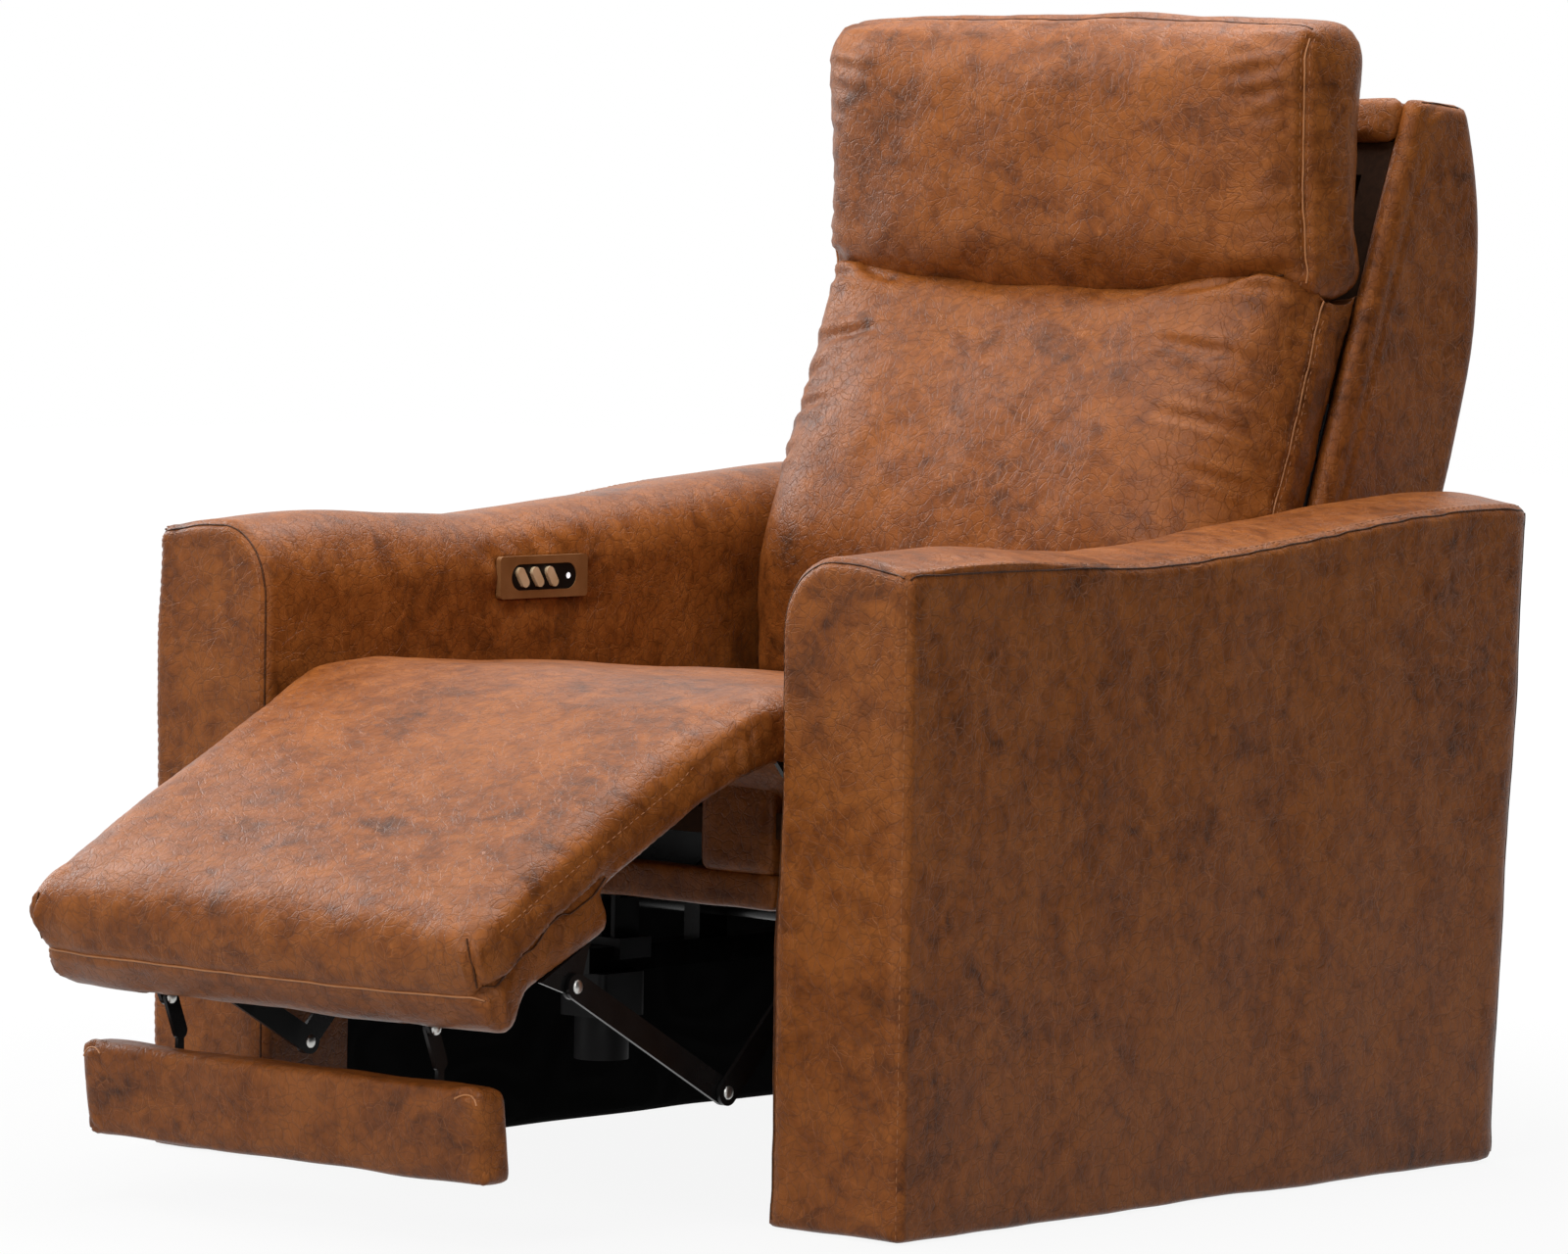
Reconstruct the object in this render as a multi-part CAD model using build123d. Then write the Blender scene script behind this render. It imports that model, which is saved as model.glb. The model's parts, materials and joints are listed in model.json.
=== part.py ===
from build123d import *
import math
import os

# A power recliner, half open. Millimetres, +Z up, the chair faces -Y.
# Lengths along Y are measured from the arm fronts; the finished pieces are moved
# so that the origin is on the floor in the middle of the chair's box.
BOX_MIDDLE = 353.08

# Arms
CHAIR_WIDTH = 960.0
ARM_WIDTH = 152.0
ARM_INNER = CHAIR_WIDTH / 2 - ARM_WIDTH
ARM_OUTER = CHAIR_WIDTH / 2
ARM_DEPTH = 902.0
ARM_REAR_LEAN = 37.0
ARM_SEAM = 600.0
ARM_RISE = 42.0
ARM_RISE_FROM = 290.0
ARM_RISE_TO = 850.0
ARM_CROWN = 11.0
ARM_ROUND = 64.0
ARM_FRAME_TOP = 520.0
ARM_SIDE_PADDING = 14.0
ARM_FRONT_PADDING = 16.0
ARM_REAR_PADDING = 22.0
ARM_TIMBER = 45.0
ARM_SECTIONS = 10
GLIDE_HEIGHT = 10.0
GLIDE_RADIUS = 14.0
GLIDE_INSET = 60.0

# Seat
RAIL_WIDTH = 51.0
RAIL_BOTTOM = 312.0
RAIL_FRONT = 112.0
RAIL_REAR = 660.0
SEAT_FRONT = 84.0
SEAT_REAR = 636.0
SEAT_SIDE_GAP = 10.0
SEAT_HALF_WIDTH = ARM_INNER - SEAT_SIDE_GAP
KNEE_SIDE_GAP = 44.0
KNEE_HALF_WIDTH = ARM_INNER - KNEE_SIDE_GAP
SEAT_DECK = 372.0
WEBBING_THICKNESS = 3.0
WEBBING_WIDTH = 55.0
WEBBING_COUNT = 6
SEAT_FRONT_TOP = 475.0
SEAT_FALL = 38.0
SEAT_CROWN = 14.0
CROSS_RAIL_DEPTH = 26.0
CROSS_RAIL_HEIGHT = 24.0
LEATHER_RAIL_HEIGHT = 34.0
LEATHER_RAIL_INSET = 73.0
LEATHER_RAIL_HALF = ARM_INNER - LEATHER_RAIL_INSET
BLOCK_WIDTH = 90.0
BLOCK_INNER = LEATHER_RAIL_HALF - BLOCK_WIDTH

# Knee hinge of the footrest
KNEE_Y = 32.0
KNEE_Z = 450.0
KNEE_RADIUS = 25.0
KNEE_ROD_RADIUS = 8.0
KNEE_CLEARANCE = 1.0
KNEE_BRACKET_THICKNESS = 5.0

# Footrest, in its own slope frame: u runs down the slope, n stands on the pad
FOOT_SLOPE = 27.0
PAD_LENGTH = 425.0
PAD_CROWN = 6.0
PAD_UNDER = 24.0
BOARD_START = 236.0
BOARD_END = 420.0
BOARD_INSET = 13.0
BOARD_HALF_WIDTH = KNEE_HALF_WIDTH - BOARD_INSET
BOARD_THICKNESS = 46.0
FOOT_ARM_THICKNESS = 5.0
FOOT_ARM_HEIGHT = 20.0
FOOT_ARM_REACH = 310.0
FOOT_ARM_EYE = 14.0
LINK_PIVOT_U = 300.0
LINK_PIVOT_N = -95.0
FOOT_ARM_INSET = 18.0

# Flap under the footrest
FLAP_PIVOT_U = 392.0
FLAP_PIVOT_N = -92.0
FLAP_HANG = 58.0
FLAP_LENGTH = 84.0
FLAP_FRONT = 30.6
FLAP_THICKNESS = 39.0
FLAP_INSET = 30.0
FLAP_HALF_WIDTH = KNEE_HALF_WIDTH - FLAP_INSET
FLAP_ARM_X = 164.0
FLAP_ARM_WIDTH = 16.0
FLAP_PIN_RADIUS = 4.0

# Lift linkage
TUBE_Y = 230.0
TUBE_Z = 340.0
TUBE_RADIUS = 12.5
TUBE_WALL = 2.5
BAR_THICKNESS = 4.0
BAR_HALF_WIDTH = 12.0
BAR_GAP = 1.0
PIN_RADIUS = 5.0
RUNNING_CLEARANCE = 0.06
DRIVE_ARM = 70.0
DRIVE_ARM_THICKNESS = 8.0
DRIVE_PIN_RADIUS = 6.0
FOOT_CLOSING = 60.0
FOOT_OPENING = 27.0
FOOT_DRIVE_X = -55.0
FORK_PLATE = 5.0
FORK_CLEARANCE = 3.0
TRACK_WIDTH = 30.0
TRACK_HEIGHT = 24.0
TRACK_CLEARANCE = 0.3
NUT_LENGTH = 44.0
NUT_WALL = 8.0

# Base mechanism
CROSS_TUBE_Z = 250.0
FRONT_CROSS_TUBE_Y = 335.0
REAR_CROSS_TUBE_Y = 480.0
PLATE_THICKNESS = 4.0
PIVOT_EAR = 20.0
TRACK_DROP = 34.0
FOOT_TRACK_TOP = CROSS_TUBE_Z - TRACK_DROP
FOOT_TRACK_FRONT = 154.0
FOOT_TRACK_REAR = 500.0
MOTOR_Y = 158.0
MOTOR_LENGTH = 62.0
MOTOR_WIDTH = 58.0
MOTOR_HEIGHT = 84.0
BACK_DRIVE_X = 70.0
BACK_TRACK_TOP = CROSS_TUBE_Z - TRACK_DROP
BACK_TRACK_FRONT = 440.0
BACK_TRACK_REAR = 770.0
BACK_MOTOR_LENGTH = 64.0
BOLT_RADIUS = 4.0
BOLT_HEAD_RADIUS = 8.0
BOLT_HEAD = 5.0
BOLT_STATIONS = (380.0, 570.0)
REAR_RAIL_INSET = 52.0
REAR_RAIL_Y = ARM_DEPTH - REAR_RAIL_INSET
REAR_RAIL_DEPTH = 28.0
REAR_RAIL_BOTTOM = 20.0
REAR_RAIL_HEIGHT = 70.0
INLET_WIDTH = 32.0
INLET_DEPTH = 12.0
INLET_HEIGHT = 24.0
INLET_HOLE = 4.0

# Back, in its own frame: s runs up the back, b runs rearwards through it
BACK_Y = 700.0
BACK_Z = 400.0
BACK_LEAN = 20.0
BACK_UPRIGHT = 9.0
BACK_RECLINE = 25.0
WING_GAP = 8.0
WING_OUTER = ARM_INNER - WING_GAP
WING_THICKNESS = 22.0
WING_FRONT = 20.0
WING_DEPTH = 188.0
WING_BOTTOM = -40.0
WING_STRAIGHT = 341.0
WING_TOP_REAR = 704.0
WING_TOP_FRONT = 682.0
WING_TOP_DEPTH = 79.0
WING_EDGE_RADIUS = 7.0
PANEL_THICKNESS = 16.0
PANEL_BOTTOM = -80.0
POST_WIDTH = 30.0
POST_DEPTH = 45.0
POST_BOTTOM = 60.0
POST_TOP = 640.0
BACK_RAILS = (75.0, 375.0, 605.0)
BACK_RAIL_HEIGHT = 35.0
BACK_STRAP = 4.0
BACK_STRAPS = (130.0, 190.0, 250.0, 310.0)
BACK_BRACKET_THICKNESS = 6.0
BACK_DRIVE_ARM = 110.0
BACK_CUSHION_BOTTOM = 25.0
BACK_CUSHION_TOP = 450.0
BACK_CUSHION_INSET = 14.0
BACK_CUSHION_HALF = WING_OUTER - BACK_CUSHION_INSET
BACK_BOXING = 50.0
BACK_CROWN = 104.0
BACK_SHOULDER = 6.0

# Headrest
HEAD_Y = 828.0
HEAD_Z = 862.0
HEAD_LEAN = -2.0
HEAD_ROLL = 52.0
HEAD_CLEARANCE = 1.5
HEAD_HEIGHT = 246.0
HEAD_INSET = 12.0
HEAD_HALF_WIDTH = WING_OUTER - HEAD_INSET
HEAD_CROWN = 13.0
HEAD_BACKWARD = 14.0
HEAD_FORWARD = 22.0
HEAD_BOARD_THICKNESS = 12.0
HEAD_ROD_RADIUS = 5.0
HEAD_BRACKET_X = 182.0
HEAD_ARM_X = 150.0
HEAD_PLATE = 5.0
HEAD_LEVER = 100.0
HEAD_TRACK_B = 82.0
HEAD_TRACK_BOTTOM = 262.0
HEAD_TRACK_TOP = 560.0
HEAD_TRACK_WIDTH = 22.0
HEAD_TRACK_DEPTH = 18.0
HEAD_MOTOR_LENGTH = 62.0

# Switch panel on the right arm
SWITCH_Y = 389.0
SWITCH_Z = 549.0
BEZEL_LENGTH = 126.0
BEZEL_HEIGHT = 42.0
BEZEL_THICKNESS = 6.0
BEZEL_PROUD = 2.0
INSERT_LENGTH = 94.0
INSERT_HEIGHT = 26.0
INSERT_DEPTH = 26.0
INSERT_SUNK = 1.0
ROCKER_LENGTH = 22.0
ROCKER_WIDTH = 10.0
ROCKER_THICKNESS = 7.0
ROCKER_TILT = 33.0
ROCKER_PITCH = 21.0
ROCKER_FIRST = -32.0
ROCKER_CLEARANCE = 0.8
ROCKER_PIN_RADIUS = 1.5
LIGHT_RADIUS = 3.0
LIGHT_OFFSET = 36.0

RAIL_INNER = ARM_INNER - RAIL_WIDTH
RAIL_TOP = SEAT_DECK - WEBBING_THICKNESS
PLATE_INNER = RAIL_INNER - PLATE_THICKNESS
CRANK_X = PLATE_INNER - BAR_GAP - BAR_THICKNESS
LINK_X = CRANK_X - BAR_GAP - BAR_THICKNESS
LINK_BRACKET_X = LINK_X - BAR_GAP - BAR_THICKNESS
FOOT_ARM_X = LINK_BRACKET_X - FOOT_ARM_INSET
FORK_GAP = DRIVE_ARM_THICKNESS / 2 + 2.0

X_AXIS = (1, 0, 0)
parts = {}


def side_plane(y, z, angle):
    """A plane seen from the side, with its first axis turned up from +Y."""
    turn = math.radians(angle)
    return Plane(origin=(0, y, z), x_dir=(0, math.cos(turn), math.sin(turn)), z_dir=X_AXIS)


LEVEL = side_plane(0, 0, 0)
BACK = side_plane(BACK_Y, BACK_Z, -BACK_LEAN)
HEAD = side_plane(HEAD_Y, HEAD_Z, -HEAD_LEAN)
FOOT_TURN = math.radians(FOOT_SLOPE)
FOOT = Plane(origin=(0, KNEE_Y, KNEE_Z),
             x_dir=(0, -math.cos(FOOT_TURN), -math.sin(FOOT_TURN)), z_dir=(-1, 0, 0))


def slab(plane, outline, x_from, x_to):
    """An outline drawn on a side plane, thickened from one X to another."""
    face = plane * outline
    return Pos(x_from, 0, 0) * extrude(face, amount=x_to - x_from, dir=X_AXIS)


def polygon(*points):
    """A straight-sided outline, always drawn anticlockwise."""
    following = points[1:] + points[:1]
    area = sum(a * d - b * c for (a, b), (c, d) in zip(points, following))
    ordered = points if area > 0 else points[::-1]
    return Polygon(*ordered, align=None)


def rectangle(a_from, b_from, a_to, b_to):
    return polygon((a_from, b_from), (a_to, b_from), (a_to, b_to), (a_from, b_to))


def disc(a, b, radius):
    return Pos(a, b) * Circle(radius)


def bar(a_from, b_from, a_to, b_to, half_width):
    """A flat bar with round ends between two points."""
    length = math.hypot(a_to - a_from, b_to - b_from)
    turn = math.degrees(math.atan2(b_to - b_from, a_to - a_from))
    middle = Pos((a_from + a_to) / 2, (b_from + b_to) / 2) * Rot(0, 0, turn)
    return middle * SlotOverall(length + 2 * half_width, 2 * half_width)


def box(x_from, x_to, y_from, y_to, z_from, z_to):
    size = (x_to - x_from, y_to - y_from, z_to - z_from)
    return Pos(x_from, y_from, z_from) * Box(*size, align=Align.MIN)


def other_side(solid):
    return mirror(solid, about=Plane.YZ)


def pair(solid):
    return [solid, other_side(solid)]


def group(solids):
    flat = []
    for solid in solids:
        flat.extend(solid.solids())
    return Compound(children=flat)


def keep(name, shape):
    parts[name] = shape


def keep_sides(name, left_solid):
    keep("left_" + name, left_solid)
    keep("right_" + name, other_side(left_solid))


def pillow(plane, half_width, base, shoulder, crown, bulge):
    """A cushion's section: flat base, swelling sides and a crowned top, across X."""
    middle = (base + shoulder) / 2
    base_right = (half_width, base)
    base_left = (-half_width, base)
    top_right = (half_width, shoulder)
    top_left = (-half_width, shoulder)
    edges = [
        Line(base_left, base_right),
        ThreePointArc(base_right, (half_width + bulge, middle), top_right),
        ThreePointArc(top_right, (0, crown), top_left),
        ThreePointArc(top_left, (-half_width - bulge, middle), base_left),
    ]
    return plane * make_face(edges)


def across(plane, along):
    """The plane square to a side plane's first axis, a distance along it."""
    normal = plane.x_dir
    return Plane(origin=plane.origin + normal * along, x_dir=X_AXIS, z_dir=normal)


def upward(plane, along):
    """The plane square to a side plane's second axis, a distance along it."""
    normal = plane.y_dir
    return Plane(origin=plane.origin + normal * along, x_dir=X_AXIS, z_dir=normal)


# Arms: one shape with a crowned, rising top, cut into its sewn panels and its frame
def seam_height(y):
    share = min(max((y - ARM_RISE_FROM) / (ARM_RISE_TO - ARM_RISE_FROM), 0), 1)
    return ARM_SEAM + ARM_RISE * share * share * (3 - 2 * share)


def arm_section(y):
    seam = seam_height(y)
    crown = seam + ARM_CROWN
    round_start = ARM_INNER + ARM_ROUND
    half_turn = ARM_ROUND * (1 - math.sqrt(0.5))
    edges = [
        Line((ARM_INNER, GLIDE_HEIGHT), (ARM_OUTER, GLIDE_HEIGHT)),
        Line((ARM_OUTER, GLIDE_HEIGHT), (ARM_OUTER, seam)),
        ThreePointArc((ARM_OUTER, seam), ((ARM_OUTER + round_start) / 2, seam + 0.75 * ARM_CROWN),
                      (round_start, crown)),
        ThreePointArc((round_start, crown), (ARM_INNER + half_turn, crown - half_turn),
                      (ARM_INNER, crown - ARM_ROUND)),
        Line((ARM_INNER, crown - ARM_ROUND), (ARM_INNER, GLIDE_HEIGHT)),
    ]
    return Plane(origin=(0, y, 0), x_dir=X_AXIS, z_dir=(0, -1, 0)) * make_face(edges)


ARM_TOP_REAR = ARM_DEPTH + ARM_REAR_LEAN
ARM_HIGHEST = ARM_SEAM + ARM_RISE + 2 * ARM_CROWN
arm_length = ARM_TOP_REAR + ARM_REAR_PADDING
arm_shape = loft([arm_section(arm_length * i / (ARM_SECTIONS - 1)) for i in range(ARM_SECTIONS)])
arm_side = polygon((0, GLIDE_HEIGHT), (ARM_DEPTH, GLIDE_HEIGHT), (ARM_TOP_REAR, ARM_SEAM + ARM_RISE),
                   (ARM_TOP_REAR, ARM_HIGHEST), (0, ARM_HIGHEST))
arm_shape &= slab(LEVEL, arm_side, ARM_INNER, ARM_OUTER)

frame_inner = ARM_INNER + ARM_SIDE_PADDING
frame_outer = ARM_OUTER - ARM_SIDE_PADDING
frame_rear = ARM_DEPTH - ARM_REAR_PADDING
below_pad = box(ARM_INNER, ARM_OUTER, 0, ARM_TOP_REAR, GLIDE_HEIGHT, ARM_FRAME_TOP)
arm_core = box(frame_inner, frame_outer, ARM_FRONT_PADDING, frame_rear, GLIDE_HEIGHT, ARM_FRAME_TOP)
top_pad = arm_shape - below_pad
arm_walls = (arm_shape & below_pad) - arm_core
front_slice = box(ARM_INNER, ARM_OUTER, 0, ARM_FRONT_PADDING, GLIDE_HEIGHT, ARM_FRAME_TOP)
inside_slice = box(ARM_INNER, frame_inner, ARM_FRONT_PADDING, frame_rear, GLIDE_HEIGHT, ARM_FRAME_TOP)
window_middle = (ARM_FRONT_PADDING + frame_rear) / 2
window_bottom = GLIDE_HEIGHT + ARM_TIMBER
window_top = ARM_FRAME_TOP - ARM_TIMBER
arm_windows = [
    box(frame_inner, frame_outer, ARM_FRONT_PADDING + ARM_TIMBER, window_middle - ARM_TIMBER / 2,
        window_bottom, window_top),
    box(frame_inner, frame_outer, window_middle + ARM_TIMBER / 2, frame_rear - ARM_TIMBER,
        window_bottom, window_top),
]
keep_sides("arm_frame", arm_core - arm_windows)
keep_sides("arm_front_panel", arm_walls & front_slice)
keep_sides("arm_inside_panel", arm_walls & inside_slice)
keep_sides("arm_outside_panel", arm_walls - front_slice - inside_slice)

arm_middle = (ARM_INNER + ARM_OUTER) / 2
glides = []
for glide_y in (GLIDE_INSET, ARM_DEPTH - GLIDE_INSET):
    glides += pair(Pos(arm_middle, glide_y, GLIDE_HEIGHT / 2) * Cylinder(GLIDE_RADIUS, GLIDE_HEIGHT))
keep("floor_glides", group(glides))

# Switch panel, let into the right arm's padded top
bezel_back = -ARM_INNER - BEZEL_THICKNESS + BEZEL_PROUD
bezel_face = bezel_back + BEZEL_THICKNESS
PANEL = side_plane(SWITCH_Y, SWITCH_Z, 0)
bezel_outline = RectangleRounded(BEZEL_LENGTH, BEZEL_HEIGHT, BEZEL_HEIGHT / 10)
insert_outline = SlotOverall(INSERT_LENGTH, INSERT_HEIGHT)
insert_face = bezel_face - INSERT_SUNK
insert_back = insert_face - INSERT_DEPTH
rocker_back = insert_face - ROCKER_THICKNESS / 2
rocker_face = rocker_back + ROCKER_THICKNESS
insert_solid = slab(PANEL, insert_outline, insert_back, insert_face)
bezel_solid = slab(PANEL, bezel_outline, bezel_back, bezel_face) - slab(PANEL, insert_outline,
                                                                       bezel_back, bezel_face)
switch_pocket = slab(PANEL, bezel_outline, bezel_back, bezel_face + ARM_ROUND)
switch_pocket += slab(PANEL, insert_outline, insert_back, bezel_face)
light_spot = slab(PANEL, disc(LIGHT_OFFSET, 0, LIGHT_RADIUS), insert_face - ROCKER_THICKNESS, insert_face)
insert_solid -= light_spot
for index in range(3):
    place = Pos(ROCKER_FIRST + ROCKER_PITCH * index, 0) * Rot(0, 0, ROCKER_TILT)
    body = place * SlotOverall(ROCKER_LENGTH, ROCKER_WIDTH, rotation=90)
    well = place * SlotOverall(ROCKER_LENGTH + 2 * ROCKER_CLEARANCE, ROCKER_WIDTH + 2 * ROCKER_CLEARANCE,
                               rotation=90)
    pivot = PANEL * place * Rot(0, 90, 0)
    pin_length = ROCKER_WIDTH + 6 * ROCKER_CLEARANCE
    pin = Pos(rocker_back + ROCKER_PIN_RADIUS, 0, 0) * pivot * Cylinder(ROCKER_PIN_RADIUS, pin_length)
    hole = Pos(rocker_back + ROCKER_PIN_RADIUS, 0, 0) * pivot * Cylinder(
        ROCKER_PIN_RADIUS + RUNNING_CLEARANCE, pin_length + RUNNING_CLEARANCE)
    insert_solid -= slab(PANEL, well, rocker_back - 2 * ROCKER_CLEARANCE, insert_face)
    insert_solid -= hole
    keep(f"rocker_{index + 1}", slab(PANEL, body, rocker_back, rocker_face) + pin)
keep("switch_bezel", bezel_solid)
keep("switch_insert", insert_solid)
keep("status_light", light_spot)
keep("left_arm_top_pad", top_pad)
keep("right_arm_top_pad", other_side(top_pad) - switch_pocket)

# Seat frame between the arms
bolt_z = (RAIL_BOTTOM + RAIL_TOP) / 2
bolts = []
bolt_holes = []
for bolt_y in BOLT_STATIONS:
    shank = slab(LEVEL, disc(bolt_y, bolt_z, BOLT_RADIUS), PLATE_INNER, ARM_INNER)
    head = slab(LEVEL, Pos(bolt_y, bolt_z) * RegularPolygon(BOLT_HEAD_RADIUS, 6),
                PLATE_INNER - BOLT_HEAD, PLATE_INNER)
    bolts += pair(shank + head)
    bolt_holes.append(shank)
keep("frame_bolts", group(bolts))
seat_rail = box(RAIL_INNER, ARM_INNER, RAIL_FRONT, RAIL_REAR, RAIL_BOTTOM, RAIL_TOP) - bolt_holes
front_rail_rear = SEAT_FRONT + CROSS_RAIL_DEPTH
rail_underside = RAIL_TOP - CROSS_RAIL_HEIGHT
keep("seat_frame", group(pair(seat_rail) + [
    box(-ARM_INNER, ARM_INNER, SEAT_FRONT, front_rail_rear, rail_underside, RAIL_TOP),
    box(-PLATE_INNER, PLATE_INNER, SEAT_REAR - CROSS_RAIL_DEPTH, SEAT_REAR, rail_underside, RAIL_TOP),
]))
leather_rail = box(-LEATHER_RAIL_HALF, LEATHER_RAIL_HALF, SEAT_FRONT, front_rail_rear,
                   RAIL_BOTTOM - LEATHER_RAIL_HEIGHT, RAIL_BOTTOM)
end_block = box(BLOCK_INNER, LEATHER_RAIL_HALF, SEAT_FRONT, front_rail_rear, RAIL_BOTTOM, rail_underside)
keep("front_rail", leather_rail + pair(end_block))
strap_first = front_rail_rear
strap_last = SEAT_REAR - CROSS_RAIL_DEPTH - WEBBING_WIDTH
straps = []
for index in range(WEBBING_COUNT):
    strap_y = strap_first + (strap_last - strap_first) * index / (WEBBING_COUNT - 1)
    straps.append(box(-ARM_INNER, ARM_INNER, strap_y, strap_y + WEBBING_WIDTH, RAIL_TOP, SEAT_DECK))
keep("seat_webbing", group(straps))
keep("rear_rail", box(-ARM_INNER, ARM_INNER, REAR_RAIL_Y, REAR_RAIL_Y + REAR_RAIL_DEPTH,
                      REAR_RAIL_BOTTOM, REAR_RAIL_BOTTOM + REAR_RAIL_HEIGHT))

# Seat cushion: a crowned loft with a knee roll at its nose
def seat_section(y, share, droop):
    top = SEAT_FRONT_TOP - SEAT_FALL * share
    half = SEAT_HALF_WIDTH - 4 * math.sin(math.pi * share)
    crown = SEAT_CROWN * math.sin(math.pi * share)
    plane = Plane(origin=(0, y, 0), x_dir=X_AXIS, z_dir=(0, -1, 0))
    return pillow(plane, half, SEAT_DECK, top - 4 - crown / 2 - droop, top + crown / 2 - droop, 5)


seat_length = SEAT_REAR - SEAT_FRONT
seat_shares = (0.0, 0.2, 0.4, 0.6, 0.8, 0.95)
seat_sections = [seat_section(SEAT_FRONT + seat_length * share, share, 0) for share in seat_shares]
seat_sections.append(seat_section(SEAT_REAR, 1.0, SEAT_CROWN / 2))
seat_body = loft(seat_sections)
knee_top = KNEE_Z + KNEE_RADIUS
neck_under = KNEE_Z - 0.35 * KNEE_RADIUS
seat_nose = slab(LEVEL, disc(KNEE_Y, KNEE_Z, KNEE_RADIUS), -KNEE_HALF_WIDTH, KNEE_HALF_WIDTH)
seat_nose += slab(LEVEL, polygon((KNEE_Y, neck_under), (SEAT_FRONT, neck_under), (SEAT_FRONT, knee_top - 2),
                                 (KNEE_Y, knee_top)), -KNEE_HALF_WIDTH, KNEE_HALF_WIDTH)
seat_nose -= slab(LEVEL, disc(KNEE_Y, KNEE_Z, KNEE_ROD_RADIUS), -KNEE_HALF_WIDTH, KNEE_HALF_WIDTH)
arm_slot_half = FOOT_ARM_THICKNESS / 2 + KNEE_CLEARANCE
eye_room = FOOT_ARM_EYE + 2 * KNEE_CLEARANCE
arm_slot = disc(KNEE_Y, KNEE_Z, eye_room) + rectangle(KNEE_Y - KNEE_RADIUS, KNEE_Z - 2 * KNEE_RADIUS,
                                                      KNEE_Y + KNEE_RADIUS, KNEE_Z + FOOT_ARM_EYE / 2)
for slot in pair(slab(LEVEL, arm_slot, FOOT_ARM_X - arm_slot_half, FOOT_ARM_X + arm_slot_half)):
    seat_nose -= slot
rod_half = KNEE_HALF_WIDTH + 2 * KNEE_BRACKET_THICKNESS
keep("knee_rod", slab(LEVEL, disc(KNEE_Y, KNEE_Z, KNEE_ROD_RADIUS), -rod_half, rod_half))
bracket_inner = rod_half - KNEE_BRACKET_THICKNESS
bracket_outline = bar(KNEE_Y, KNEE_Z, (SEAT_FRONT + front_rail_rear) / 2, RAIL_TOP + KNEE_ROD_RADIUS,
                      1.7 * KNEE_ROD_RADIUS)
bracket_outline += rectangle(SEAT_FRONT, RAIL_TOP, front_rail_rear, RAIL_TOP + 3 * KNEE_ROD_RADIUS)
bracket_outline -= rectangle(0, 0, ARM_DEPTH, RAIL_TOP)
bracket_outline -= disc(KNEE_Y, KNEE_Z, KNEE_ROD_RADIUS)
keep("knee_brackets", group(pair(slab(LEVEL, bracket_outline, bracket_inner, rod_half))))
bracket_room = rectangle(SEAT_FRONT, SEAT_DECK, front_rail_rear + KNEE_CLEARANCE,
                         RAIL_TOP + 6 * KNEE_ROD_RADIUS)
for slot in pair(slab(LEVEL, bracket_room, bracket_inner - KNEE_CLEARANCE, rod_half + KNEE_CLEARANCE)):
    seat_body -= slot
keep("seat_cushion", seat_body + seat_nose)

# Footrest: chaise pad, leather-wrapped board, steel arms and brackets
pad_shares = (0.0, 0.14, 0.45, 0.78, 0.94, 1.0)
pad_rise = (0.0, 0.5, 1.0, 0.8, 0.0, -1.6)
pad_tuck = (0.0, 2.0, 4.0, 2.0, 2.0, 8.0)
pad_sections = []
for share, rise, tuck in zip(pad_shares, pad_rise, pad_tuck):
    crown = KNEE_RADIUS + PAD_CROWN * rise
    under = -PAD_UNDER + max(0, -rise) * PAD_CROWN
    pad_sections.append(pillow(across(FOOT, PAD_LENGTH * share), KNEE_HALF_WIDTH - tuck, under,
                               crown - 5, crown, 4))
foot_pad = loft(pad_sections)
knee_room = KNEE_RADIUS + KNEE_CLEARANCE
foot_pad -= slab(LEVEL, disc(KNEE_Y, KNEE_Z, knee_room), -ARM_INNER, ARM_INNER)
foot_pad -= slab(FOOT, rectangle(-KNEE_RADIUS, -2 * KNEE_RADIUS, KNEE_CLEARANCE, 2 * KNEE_RADIUS),
                 -ARM_INNER, ARM_INNER)

arm_level = -PAD_UNDER - FOOT_ARM_HEIGHT / 2
arm_bend = 3 * FOOT_ARM_HEIGHT
foot_arm_outline = disc(0, 0, FOOT_ARM_EYE) + bar(0, 0, arm_bend, arm_level, FOOT_ARM_HEIGHT / 2)
foot_arm_outline += bar(arm_bend, arm_level, FOOT_ARM_REACH, arm_level, FOOT_ARM_HEIGHT / 2)
foot_arm_outline -= disc(0, 0, KNEE_ROD_RADIUS + RUNNING_CLEARANCE)
foot_arm_inner = FOOT_ARM_X - FOOT_ARM_THICKNESS / 2
foot_arm = slab(FOOT, foot_arm_outline, foot_arm_inner, foot_arm_inner + FOOT_ARM_THICKNESS)
for arm_solid in pair(foot_arm):
    foot_pad -= arm_solid
foot_pad -= slab(FOOT, rectangle(0, -2 * PAD_UNDER, 2 * PAD_LENGTH, -PAD_UNDER), -ARM_INNER, ARM_INNER)
keep("footrest_pad", foot_pad)
keep("footrest_arms", group(pair(foot_arm)))

board_under = -PAD_UNDER - BOARD_THICKNESS
board_outline = RectangleRounded(BOARD_END - BOARD_START, BOARD_THICKNESS, BOARD_THICKNESS / 8)
board_middle = Pos((BOARD_START + BOARD_END) / 2, -PAD_UNDER - BOARD_THICKNESS / 2)
foot_board = slab(FOOT, board_middle * board_outline, -BOARD_HALF_WIDTH, BOARD_HALF_WIDTH)
for arm_solid in pair(foot_arm):
    foot_board -= arm_solid
keep("footrest_board", foot_board)

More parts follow.
